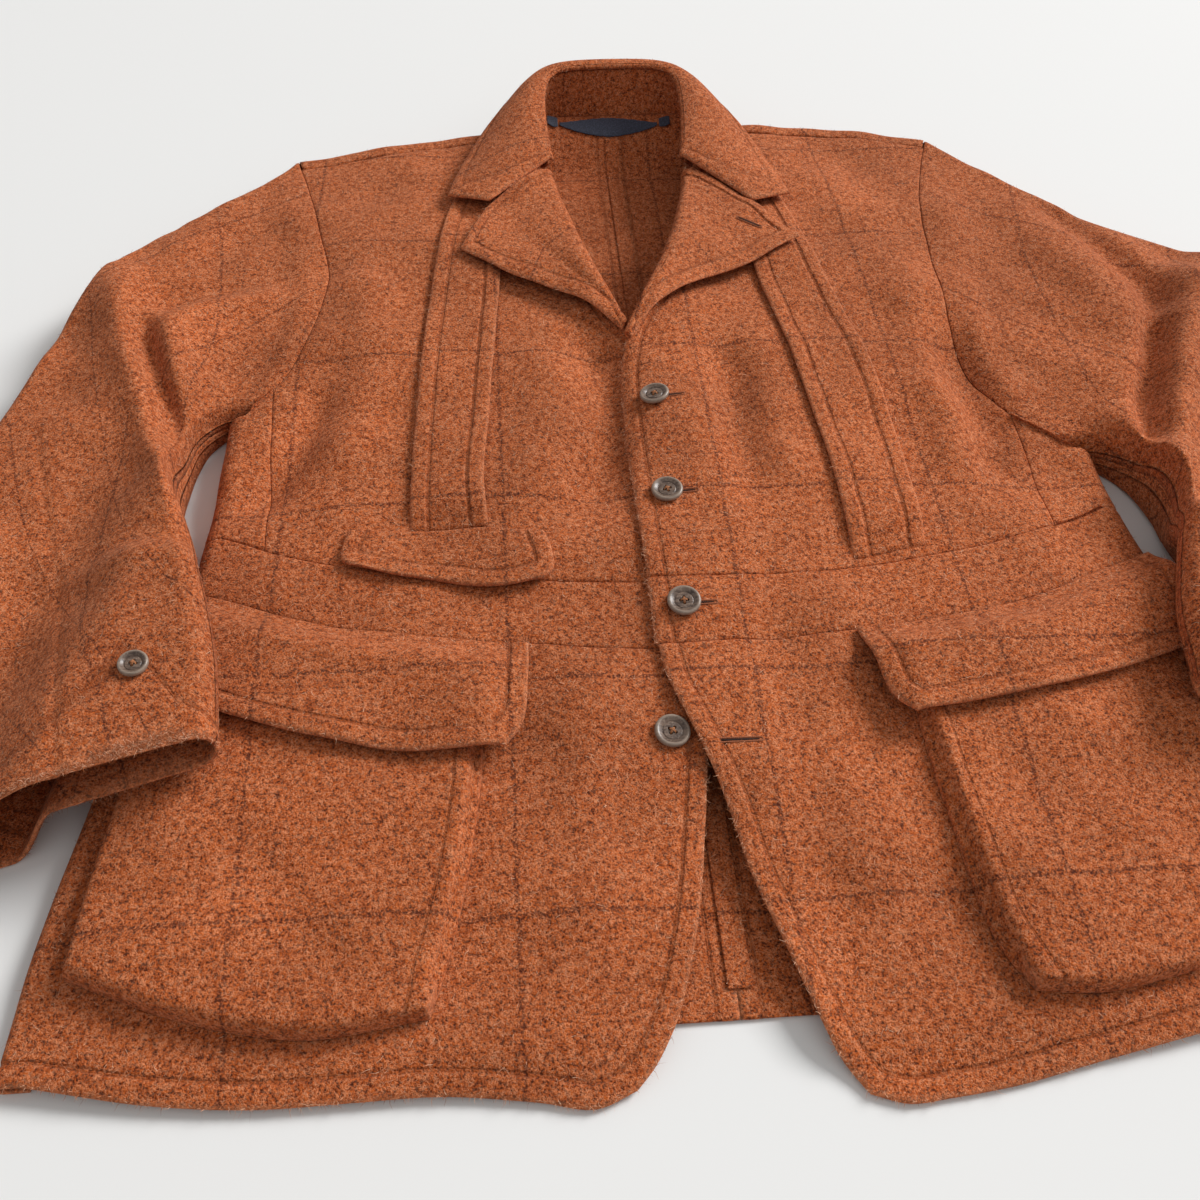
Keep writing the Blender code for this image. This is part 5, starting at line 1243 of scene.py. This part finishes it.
# Folds of the sleeves from shoulder to elbow, each a line of x, y, then width and height
sleeveFolds = {
    "right": [
        ([(-0.375, 0.596), (-0.350, 0.530), (-0.336, 0.484), (-0.320, 0.439), (-0.301, 0.388),
          (-0.283, 0.335)], 0.0125, 0.0125),
        ([(-0.342, 0.530), (-0.330, 0.495), (-0.318, 0.460), (-0.306, 0.424), (-0.297, 0.394),
          (-0.287, 0.360)], 0.0064, -0.0150),
        ([(-0.228, 0.552), (-0.274, 0.543), (-0.301, 0.530), (-0.313, 0.507), (-0.308, 0.473),
          (-0.298, 0.430)], 0.0095, 0.0090),
        ([(-0.340, 0.528), (-0.313, 0.551), (-0.280, 0.566), (-0.235, 0.578)], 0.0100, -0.0075),
        ([(-0.262, 0.700), (-0.286, 0.628), (-0.302, 0.575)], 0.0110, -0.0070),
        ([(-0.284, 0.695), (-0.315, 0.632), (-0.348, 0.598)], 0.0130, 0.0045),
        ([(-0.232, 0.500), (-0.262, 0.492), (-0.288, 0.465)], 0.0090, -0.0035),
        ([(-0.330, 0.655), (-0.352, 0.612), (-0.366, 0.580)], 0.0110, -0.0040),
        ([(-0.388, 0.540), (-0.380, 0.480), (-0.392, 0.420)], 0.0140, -0.0035),
        ([(-0.300, 0.372), (-0.322, 0.352), (-0.345, 0.345)], 0.0090, -0.0026),
        ([(-0.292, 0.330), (-0.330, 0.310), (-0.366, 0.304)], 0.0130, 0.0024),
        ([(-0.270, 0.286), (-0.305, 0.268), (-0.340, 0.262)], 0.0100, -0.0024),
        ([(-0.400, 0.350), (-0.412, 0.300), (-0.408, 0.240)], 0.0130, 0.0020),
    ],
    "left": [
        ([(0.252, 0.728), (0.276, 0.675), (0.297, 0.625), (0.313, 0.578), (0.326, 0.528),
          (0.337, 0.486)], 0.0150, 0.0075),
        ([(0.316, 0.664), (0.342, 0.612), (0.357, 0.562), (0.363, 0.520), (0.356, 0.485)], 0.0095, -0.0110),
        ([(0.345, 0.662), (0.385, 0.606), (0.416, 0.560)], 0.0170, -0.0090),
        ([(0.418, 0.562), (0.390, 0.516), (0.366, 0.474), (0.350, 0.440), (0.330, 0.398),
          (0.312, 0.350)], 0.0125, 0.0125),
        ([(0.356, 0.504), (0.344, 0.470), (0.330, 0.437), (0.314, 0.402), (0.303, 0.370),
          (0.294, 0.345)], 0.0064, -0.0140),
        ([(0.262, 0.660), (0.268, 0.600), (0.282, 0.545)], 0.0110, -0.0035),
        ([(0.236, 0.520), (0.262, 0.470), (0.292, 0.430)], 0.0120, 0.0035),
        ([(0.262, 0.540), (0.285, 0.490), (0.308, 0.450)], 0.0100, -0.0028),
        ([(0.330, 0.350), (0.350, 0.330), (0.378, 0.322)], 0.0090, -0.0026),
        ([(0.300, 0.318), (0.340, 0.300), (0.384, 0.292)], 0.0120, 0.0024),
        ([(0.280, 0.270), (0.315, 0.250), (0.352, 0.242)], 0.0100, -0.0022),
        ([(0.430, 0.440), (0.446, 0.385), (0.450, 0.330)], 0.0130, 0.0022),
    ],
}
forearmSeam = {"right": [(-0.385, 0.415), (-0.355, 0.314), (-0.329, 0.235), (-0.312, 0.150)],
               "left": [(0.430, 0.430), (0.405, 0.330), (0.376, 0.245), (0.350, 0.152)]}
sleeveWaves = [(0.052, 70, 0.3, 0.00045), (0.037, 15, 2.0, 0.00030), (0.071, 120, 4.0, 0.00045),
               (0.029, 50, 1.0, 0.00016)]


def bodyStack(x, y):
    onPocket = smooth((0.305 - y) / 0.025)
    return frontHeight(x, y, 0.0) + cloth["layGap"] + 0.0040 + onPocket * (cloth["pocketDepth"] + 0.0015)


# on the floor, or over the edge of the body where the sleeve crosses it, within a given width
def sleeveFloor(x, y, width=0.027, rise=0.045):
    reach = smooth((halfWidth(y) + 0.003 + width - np.abs(x)) / width)
    return (bodyStack(x, y) + 0.0012) * reach * smooth((0.330 + rise - y) / rise)


sleeveLook = {"rowStep": 0.0040, "columns": 58, "overBody": (0.075, 0.090), "crown": 0.10,
              "capRise": 0.0030, "seamDip": 0.0013, "seamWide": 0.0022}


# flattened tube: z = floor + depth (1 +- sqrt(1 - (1 - e/r)^2))/2, e being the distance to the nearer fold
def makeSleeve(side):
    look = sleeveLook
    table = np.asarray(sleeve[side])
    rowShares = spacing(0.62, "seam", "seam", look["rowStep"])
    rows = curveThrough(table, rowShares, np.linspace(0.0, 1.0, len(table)))
    outer, inner, loft = rows[:, 0:2], rows[:, 2:4], rows[:, 4]
    width = np.linalg.norm(inner - outer, axis=1)[:, None]
    turned = roll["sleeve"] * (1 - np.cos(np.linspace(0.30, 0.5 * math.pi, 11)))
    near = np.concatenate([[0.0, 0.0002, 0.0006], turned, [0.0145, 0.0170]])
    middle = np.linspace(0.0, 1.0, look["columns"])[None]
    inside = near[-1] / width + (1 - 2 * near[-1] / width) * middle
    place = np.concatenate([near[None, :-1] / width, inside, 1 - near[None, -2::-1] / width], axis=1)
    armholeLine = linePoints(armhole[side], place[0])
    bow = armholeLine - (armholeLine[0] * (1 - place[0][:, None]) + armholeLine[-1] * place[0][:, None])
    bowShare = 1 - np.minimum(1.0, rowShares * 16 / 7)
    plan = (outer[:, None] * (1 - place[..., None]) + inner[:, None] * place[..., None]
            + bow[None] * bowShare[:, None, None])
    fromEdge = np.minimum(place, 1 - place) * width
    rounded = roundEdge(fromEdge, roll["sleeve"])
    plan[..., 0] += sideSign[side] * seamGap * np.maximum(1 - rowShares * 40, 0.0)[:, None]
    x, y = plan[..., 0], plan[..., 1]
    floor = sleeveFloor(x, y)
    across = 2 * place - 1
    crown = loft[:, None] * (1.0 + look["crown"] * (1 - across ** 2))
    blend = smooth(rowShares * 16 / 5)[:, None]
    endFade = smooth((1 - rowShares) * 4)[:, None]
    creases = lineFolds(plan, sleeveFolds[side]) + ripple(x, y, sleeveWaves)
    free = np.maximum(floor, sleeveFloor(x, y, *look["overBody"])) + crown + endFade * creases
    cap = look["capRise"] * bell(rowShares - 0.035, 0.026)[:, None] * (1 - across ** 2)
    top = lieHeight(side, x, y) * (1 - blend) + free * blend + cap
    depth = top - floor
    seamHalf = 0.6 * seamGap / np.maximum(depth, 0.01)
    seamTo, _ = nearLine(plan, linePoints(forearmSeam[side], np.linspace(0, 1, 40)))
    outerHalf = np.clip(1 - rowShares, 0, 1)[:, None]
    forearm = look["seamDip"] * bell(seamTo, look["seamWide"]) * (outerHalf < 0.62)
    passed = walked(plan, 0)
    for name, sign in (("top", 1.0), ("under", -1.0)):
        level = 0.5 + sign * 0.5 * rounded
        level[:, 0] += sign * seamHalf[:, 0]
        level[:, -1] += sign * seamHalf[:, -1]
        surface = np.dstack([plan, floor + depth * level])
        if name == "top":
            surface[..., 2] -= forearm
        inward = inwardOf(surface, 60, 40, way=-sign)
        around = walked(surface, 1)
        around = around - around[:, around.shape[1] // 2][:, None]
        weave = np.dstack([around, 0.70 - passed])
        sewPiece("sleeve_" + name + "_" + side, surface, inward, cloth["wall"], weave,
                 free=("top",), sewn=("bottom",), stitched=("top",),
                 rests=("floor",) if name == "under" else ("sleeve_under_" + side,))
        upperFace = surface if name == "top" else upperFace
    return upperFace


def makeNeckPiece(name, centre, halfLength, halfDepth, tipDepth, gap):
    along = spacing(2 * halfLength, "seam", "seam", 0.0012) * 2 - 1
    deep = spacing(2 * halfDepth, "seam", "seam", 0.0010) * 2 - 1
    depth = (halfDepth - tipDepth) * (1 - np.abs(along) ** 1.6) + tipDepth
    planY = centre[1] + deep[:, None] * depth[None]
    planX = np.repeat(centre[0] + halfLength * along[None], len(deep), axis=0)
    plan = np.dstack([planX, planY])
    pucker = 0.00025 * np.sin(planX * 700.0) * (np.abs(deep)[:, None] > 0.55)
    surface = np.dstack([plan, backInside(planX, planY) + gap + cloth["tapeWall"] + np.maximum(pucker, 0.0)])
    sewPiece(name, surface, upright(plan.shape[:2]), cloth["tapeWall"], plan,
             free=("inner", "outer", "bottom", "top"), rests=("back_right",),
             material=labelCloth, slotName="label_cloth")


sleeveTops = {}
for side in ("right", "left"):
    makeBack(side)
    makeSkirt(side)
    makeBelt(side)
    makeFront(side)
    makeSide(side)
    makeStrap(side)
    makePocket(side)
    makePocketFlap(side)
    lapelFace = makeLapel(side)
    sleeveTops[side] = makeSleeve(side)
makeBackTape()
makeBreastFlap()
makeCollar()
for row in neckPieces:
    makeNeckPiece(*row)
print("stage: cloth made")


# rings of points joined round and along, closed at both ends to one point each
def ringMesh(name, rings, firstEnd, lastEnd, seamValue, material):
    count, around = rings.shape[:2]
    index = np.arange(count * around).reshape(count, around)
    following = np.roll(index, -1, axis=1)
    sides = np.stack([index[:-1], following[:-1], following[1:], index[1:]], axis=-1).reshape(-1, 4)
    first, last = count * around, count * around + 1
    even = np.arange(0, around, 2)
    onward = (even + 2) % around
    startCap = [np.full(even.size, first), index[0, onward], index[0, even + 1], index[0, even]]
    endCap = [np.full(even.size, last), index[-1, even], index[-1, even + 1], index[-1, onward]]
    faces = np.concatenate([sides, np.stack(startCap, axis=-1), np.stack(endCap, axis=-1)])
    points = np.concatenate([rings.reshape(-1, 3), [firstEnd, lastEnd]])
    points[:, 1] -= restY
    if signedVolume(points - points.mean(axis=0), faces) < 0:
        faces = faces[:, ::-1]
    seam = np.concatenate([seamValue.reshape(-1, 2), seamValue[0, :1], seamValue[-1, :1]])
    return buildMesh(name, points, faces, {"weave": points[:, :2], "seam": seam}, material)


# a tube of rings, closed at both ends to the middle of its last ring
def tubeMesh(name, tube, material):
    still = np.zeros(tube.shape[:2] + (2,))
    ringMesh(name, tube, tube[0].mean(axis=0), tube[-1].mean(axis=0), still, material)


buttonLook = {"holeFrom": 0.21, "holeWide": 0.085, "wellDeep": 0.0019,
              "threadWide": 0.00030, "threadRise": 0.00055}
# columns: share of the radius, height in millimetres; the top, then the back
buttonTop = np.array([(0.0, 2.50), (0.30, 2.45), (0.46, 2.42), (0.53, 2.34), (0.57, 1.98), (0.61, 2.36),
                      (0.68, 2.78), (0.78, 3.30), (0.86, 3.52), (0.93, 3.34), (0.98, 2.84), (1.0, 2.30)])
buttonBack = np.array([(0.995, 1.60), (0.96, 0.95), (0.88, 0.40), (0.70, 0.10), (0.40, 0.0), (0.05, 0.0)])


def placed(points, lean, place):
    turn = np.array(Euler(lean).to_matrix())
    return points @ turn.T + np.asarray(place)


# turned disc: height by share of the radius, with a well 1 - smooth((d - r)/w) at each of the four holes
def makeButton(name, x, y, z, across, lean, spin):
    radius = across / 2
    look = buttonLook
    shares = np.concatenate([np.linspace(0.02, 0.34, 24), np.linspace(0.36, 0.84, 24),
                             np.linspace(0.86, 1.0, 10)])
    heights = curveThrough(buttonTop[:, 1], shares, buttonTop[:, 0])[..., 0] * 0.001
    turns = np.linspace(0.0, 2 * math.pi, 96, endpoint=False)
    planX, planY = shares[:, None] * np.cos(turns), shares[:, None] * np.sin(turns)
    height = np.repeat(heights[:, None], turns.size, axis=1)
    for quarter in range(4):
        way = math.radians(45 + 90 * quarter) + spin
        gap = np.hypot(planX - look["holeFrom"] * math.cos(way), planY - look["holeFrom"] * math.sin(way))
        height = height - look["wellDeep"] * (1 - smooth((gap - look["holeWide"] + 0.015) / 0.03))
    top = np.dstack([planX * radius, planY * radius, height])
    back = np.dstack([buttonBack[:, :1] * radius * np.cos(turns), buttonBack[:, :1] * radius * np.sin(turns),
                      np.repeat(buttonBack[:, 1:] * 0.001, turns.size, axis=1)])
    rings = np.concatenate([top, back])
    ringShares = np.concatenate([shares, buttonBack[:, 0]])
    seam = np.dstack([np.repeat(ringShares[:, None], turns.size, axis=1), np.zeros(rings.shape[:2])])
    ends = placed(np.array([[0.0, 0.0, heights[0]], [0.0, 0.0, 0.0]]), lean, (x, y, z))
    piece = ringMesh(name, placed(rings, lean, (x, y, z)), ends[0], ends[1], seam, horn)
    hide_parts(name)
    steps = np.linspace(0.0, 1.0, 18)
    around = np.linspace(0.0, 2 * math.pi, 8, endpoint=False)
    strands = ((45, 1.0, -0.5), (45, 1.0, 0.5), (135, 1.25, -0.5), (135, 1.25, 0.5))
    for number, (degrees, rise, beside) in enumerate(strands):
        way = math.radians(degrees) + spin
        reach = look["holeFrom"] * radius
        line = (steps - 0.5) * 2 * (reach + 0.0001)
        wide = look["threadWide"]
        arch = 0.00245 + wide + look["threadRise"] * rise * np.sin(steps * math.pi) - 0.0014 * (1 - roundEdge(
            np.minimum(steps, 1 - steps), 0.16))
        off = beside * 2 * wide
        path = np.column_stack([line * math.cos(way) - off * math.sin(way),
                                line * math.sin(way) + off * math.cos(way), arch])
        side = np.array([-math.sin(way), math.cos(way), 0.0])
        ring = (side[None, None] * np.cos(around)[None, :, None]
                + np.array([0.0, 0.0, 1.0])[None, None] * np.sin(around)[None, :, None]) * wide
        tube = placed(path[:, None] + ring, lean, (x, y, z))
        tubeMesh(name + "_thread_" + str(number + 1), tube, threadMaterial)


def seatButton(name, x, y, across, side, spin):
    step = across * 0.4
    near = np.array([[x, y], [x + step, y], [x - step, y], [x, y + step], [x, y - step]])
    height = lieHeight(side, near[:, 0], near[:, 1])
    slopeX, slopeY = (height[1] - height[2]) / (2 * step), (height[3] - height[4]) / (2 * step)
    makeButton(name, x, y, float(height.max()) * 0.35 + float(height[0]) * 0.65 + 0.0006, across,
               (math.atan(slopeY), -math.atan(slopeX), 0.0), spin)


# leans to the plane fitted to the sleeve's upper face under the button
def seatOnSleeve(side, x, y, across, spin):
    face = sleeveTops[side].reshape(-1, 3)
    near = face[np.hypot(face[:, 0] - x, face[:, 1] - y) < across * 0.55]
    terms = np.column_stack([np.ones(len(near)), near[:, 0] - x, near[:, 1] - y])
    height, slopeX, slopeY = np.linalg.lstsq(terms, near[:, 2], rcond=None)[0]
    above = float(np.max(near[:, 2] - terms @ np.array([height, slopeX, slopeY])))
    makeButton("cuff_button_" + side, x, y, float(height) + 0.7 * above + 0.0004, across,
               (math.atan(slopeY), -math.atan(slopeX), 0.0), spin)


# height of a finished face at given places: mean of its own heights weighed by exp(-d^2 / 2w^2)
def faceHeight(face, x, y):
    points = face.reshape(-1, 3)
    square = (points[:, 0] - x[:, None]) ** 2 + (points[:, 1] - y[:, None]) ** 2
    weights = np.exp(-square / (2 * 0.0016 ** 2)) + 1e-30
    return (weights * points[:, 2]).sum(axis=1) / weights.sum(axis=1)


buttonholeLook = {"halfWide": 0.0012, "thread": 0.00052, "pitch": 0.0010, "uneven": 0.28, "slit": 0.00055,
                  "count": 150}


# stitched rim of a buttonhole: a tube on a long rounded loop, its radius r (1 + a sin(2 pi s / pitch))
def makeButtonhole(name, centre, degrees, halfLength, lift, heightAt):
    way = math.radians(degrees)
    look = buttonholeLook
    halfWide, count = look["halfWide"], look["count"]
    straight = 2 * (halfLength - halfWide)
    total = 2 * straight + 2 * math.pi * halfWide
    passed = np.linspace(0.0, total, count)
    bend = math.pi * halfWide
    first = passed < straight
    second = (passed >= straight) & (passed < straight + bend)
    third = (passed >= straight + bend) & (passed < 2 * straight + bend)
    turnOne = (passed - straight) / halfWide - 0.5 * math.pi
    turnTwo = (passed - 2 * straight - bend) / halfWide + 0.5 * math.pi
    half = 0.5 * straight
    lineX = np.select([first, second, third], [passed - half, half + halfWide * np.cos(turnOne),
                                               half - (passed - straight - bend)],
                      -half + halfWide * np.cos(turnTwo))
    lineY = np.select([first, second, third], [np.full(count, -halfWide), halfWide * np.sin(turnOne),
                                               np.full(count, halfWide)], halfWide * np.sin(turnTwo))
    x = centre[0] + lineX * math.cos(way) - lineY * math.sin(way)
    y = centre[1] + lineX * math.sin(way) + lineY * math.cos(way)
    z = heightAt(x, y) + lift
    path = np.column_stack([x, y, z])
    tangent = np.gradient(path, axis=0)
    tangent /= np.linalg.norm(tangent, axis=1)[:, None]
    across = np.cross(tangent, [0.0, 0.0, 1.0])
    around = np.linspace(0.0, 2 * math.pi, 8, endpoint=False)
    thick = look["thread"] * (1 + look["uneven"] * np.sin(2 * math.pi * passed / look["pitch"]))
    ring = (across[:, None] * np.cos(around)[None, :, None]
            + np.array([0.0, 0.0, 0.75]) * np.sin(around)[None, :, None]) * thick[:, None, None]
    tube = path[:, None] + ring
    tubeMesh(name, tube, holeThread)
    # a flat near-black tube along the slit: painted shade in the open cut
    shares = np.linspace(-1.0, 1.0, 24)
    slitX = shares * (halfLength - 0.0016)
    slitWide = look["slit"] * np.sqrt(np.maximum(1 - shares ** 2, 0.0)) + 0.00004
    slitPath = np.column_stack([centre[0] + slitX * math.cos(way), centre[1] + slitX * math.sin(way)])
    slitPath = np.column_stack([slitPath, heightAt(slitPath[:, 0], slitPath[:, 1]) + lift])
    sideways = np.array([-math.sin(way), math.cos(way), 0.0])
    ring = (sideways[None, None] * np.cos(around)[None, :, None] * slitWide[:, None, None]
            + np.array([0.0, 0.0, 0.00025])[None, None] * np.sin(around)[None, :, None])
    tubeMesh(name + "_slit", slitPath[:, None] + ring, slitShadeMaterial)


for number, (name, x, y, across, layer) in enumerate(buttons):
    seatButton(name, x, y, across, "left" if layer == "over" else "right", (0.35, 1.1, 0.8, 0.2)[number])
for side in ("right", "left"):
    seatOnSleeve(side, *cuffButtons[side], cuffButtonAcross, 0.6 if side == "right" else 1.0)
for number, (x, y) in enumerate([(0.0045, 0.4280), (0.0035, 0.3460), (0.0035, 0.2610), (0.0155, 0.1725)]):
    makeButtonhole("buttonhole_" + str(number + 1), (x, y), (0, 0, 0, 2)[number], 0.0125, 0.0001,
                   lambda x, y: lieHeight("left", x, y))
makeButtonhole("buttonhole_lapel", (0.0865, 0.6100), -39, 0.0105, 0.0002,
               lambda x, y: faceHeight(lapelFace, x, y))
print("stage: buttons and buttonholes made")


napLook = {"count": 62000, "edgeCount": 22000, "edgeWide": 0.0016, "edgeLong": 0.0036, "edgeRise": 0.80,
           "long": 0.0042, "wide": 0.00021, "curl": 0.85, "rise": 0.35}


# Hairs as narrow ribbons of two quads. Each curves: p(t) = root + l (d t + c t^2), d leaning between
# the cloth's outward way and a random way along it, c a random sideways curl.
def makeNap(name, count, rng, wanted, length, rise):
    roots, ups, tangents = [], [], []
    areas = np.array([gridArea(surface) for surface, _, _ in napSources])
    numbers = np.maximum((areas / areas.sum() * count).astype(int), 20)
    for (surface, outward, gap), number in zip(napSources, numbers):
        first = surface[1:, 1:] - surface[:-1, :-1]
        second = surface[1:, :-1] - surface[:-1, 1:]
        cell = np.linalg.norm(np.cross(first, second), axis=2)
        chance = cell * wanted(gap[:-1, :-1])
        total = chance.sum()
        if total <= 0:
            continue
        pick = rng.choice(cell.size, size=number, p=(chance / total).ravel())
        row, column = np.unravel_index(pick, cell.shape)
        a, b = rng.random((2, number, 1))
        corner = surface[row, column]
        root = corner + a * (surface[row + 1, column] - corner) + b * (surface[row, column + 1] - corner)
        up = outward[row, column]
        roots.append(root)
        ups.append(up)
        loose = rng.normal(size=(number, 3))
        loose -= up * (loose * up).sum(axis=1)[:, None]
        tangents.append(loose / np.linalg.norm(loose, axis=1)[:, None])
    roots, ups, tangents = (np.concatenate(item) for item in (roots, ups, tangents))
    shown = roots[:, 2] + ups[:, 2] * 0.002 > 0.0022
    roots, ups, tangents = roots[shown], ups[shown], tangents[shown]
    number = len(roots)
    hair = length * (0.45 + 0.75 * rng.random((number, 1)))
    upShare = rise * rng.random((number, 1)) ** 1.4 + 0.05
    way = ups * upShare + tangents * (1 - upShare)
    bend = np.cross(ups, tangents) * rng.normal(size=(number, 1)) * napLook["curl"] - ups * 0.22 * upShare
    steps = (0.0, 0.5, 1.0)
    centres = [roots + hair * (way * t + bend * t * t * 0.6) for t in steps]
    flat = np.cross(way, ups)
    flat /= np.maximum(np.linalg.norm(flat, axis=1), 1e-9)[:, None]
    halfWide = napLook["wide"] * 0.5 * (0.7 + 0.6 * rng.random((number, 1)))
    rows = []
    for centre, narrow in zip(centres, (1.0, 0.8, 0.25)):
        rows += [centre - flat * halfWide * narrow, centre + flat * halfWide * narrow]
    points = np.stack(rows, axis=1)
    points[..., 1] -= restY
    points[..., 2] = np.maximum(points[..., 2], 0.0002)
    start = np.arange(number)[:, None] * 6
    faces = np.concatenate([start + np.array([0, 1, 3, 2]), start + np.array([2, 3, 5, 4])])
    tone = np.repeat(rng.random((number, 1, 1)), 6, axis=1)
    place = np.repeat(roots[:, None, :2], 6, axis=1)
    seam = np.concatenate([tone, tone], axis=2).reshape(-1, 2)
    buildMesh(name, points.reshape(-1, 3), faces, {"weave": place.reshape(-1, 2), "seam": seam}, napMaterial)


rng = np.random.default_rng(11)
makeNap("nap", napLook["count"], rng, lambda gap: np.ones_like(gap), napLook["long"], napLook["rise"])
makeNap("nap_edges", napLook["edgeCount"], rng, lambda gap: (gap < napLook["edgeWide"]) + 0.0,
        napLook["edgeLong"], napLook["edgeRise"])
print("stage: nap made")


stageLook = {
    "floorColor": (0.83, 0.83, 0.82, 1.0), "world": 0.41,
    "keyPower": 2450.0, "keySize": 5.6, "keyFrom": (10.8, 6.4, 8.4),
    "fillPower": 3.0, "fillSize": 2.0, "fillFrom": (0.8, -1.2, 2.0),
}


def lookAt(item, target):
    way = item.location - Vector(target)
    item.rotation_euler = way.to_track_quat("Z", "Y").to_euler()


def addAreaLight(name, power, size, place):
    light = bpy.data.lights.new(name, "AREA")
    light.energy, light.size = power, size
    lamp = bpy.data.objects.new(name, light)
    lamp.location = place
    bpy.context.scene.collection.objects.link(lamp)
    lookAt(lamp, (0.0, 0.0, 0.0))


bpy.ops.mesh.primitive_plane_add(size=12.0, location=(0.0, 0.0, -0.0004))
floor = bpy.context.object
floor.name = "floor"
paper = newMaterial("floor_paper", Base_Color=stageLook["floorColor"], Roughness=0.9, Specular_IOR_Level=0.15)
floor.data.materials.append(paper[0])

world = bpy.data.worlds.new("studio")
world.use_nodes = True
world.node_tree.nodes["Background"].inputs["Color"].default_value = (1.0, 0.99, 0.98, 1.0)
world.node_tree.nodes["Background"].inputs["Strength"].default_value = stageLook["world"]
bpy.context.scene.world = world
bpy.context.scene.view_settings.view_transform = "Standard"
addAreaLight("key", stageLook["keyPower"], stageLook["keySize"], stageLook["keyFrom"])
addAreaLight("fill", stageLook["fillPower"], stageLook["fillSize"], stageLook["fillFrom"])

cameraPlace = {"position": (-0.095, -0.573, 0.549), "down": 49.65, "aside": 5.94, "tilt": 2.05,
               "lens": 36.0 * 1225.0 / 1200.0}


def makeCamera(settings):
    down, aside, tilt = (math.radians(settings[key]) for key in ("down", "aside", "tilt"))
    ahead = np.array([math.sin(aside) * math.cos(down), math.cos(aside) * math.cos(down), -math.sin(down)])
    across = np.array([math.cos(aside), -math.sin(aside), 0.0])
    upward = np.cross(across, ahead)
    right = math.cos(tilt) * across + math.sin(tilt) * upward
    up = math.cos(tilt) * upward - math.sin(tilt) * across
    data = bpy.data.cameras.new("camera")
    data.lens, data.sensor_width, data.sensor_fit = settings["lens"], 36.0, "HORIZONTAL"
    data.clip_start, data.clip_end = 0.02, 50.0
    camera = bpy.data.objects.new("camera", data)
    matrix = np.eye(4)
    matrix[:3, 0], matrix[:3, 1], matrix[:3, 2], matrix[:3, 3] = right, up, -ahead, settings["position"]
    camera.matrix_world = Matrix([list(row) for row in matrix])
    bpy.context.scene.collection.objects.link(camera)
    bpy.context.scene.camera = camera


makeCamera(cameraPlace)
print("stage: floor, light and camera made")
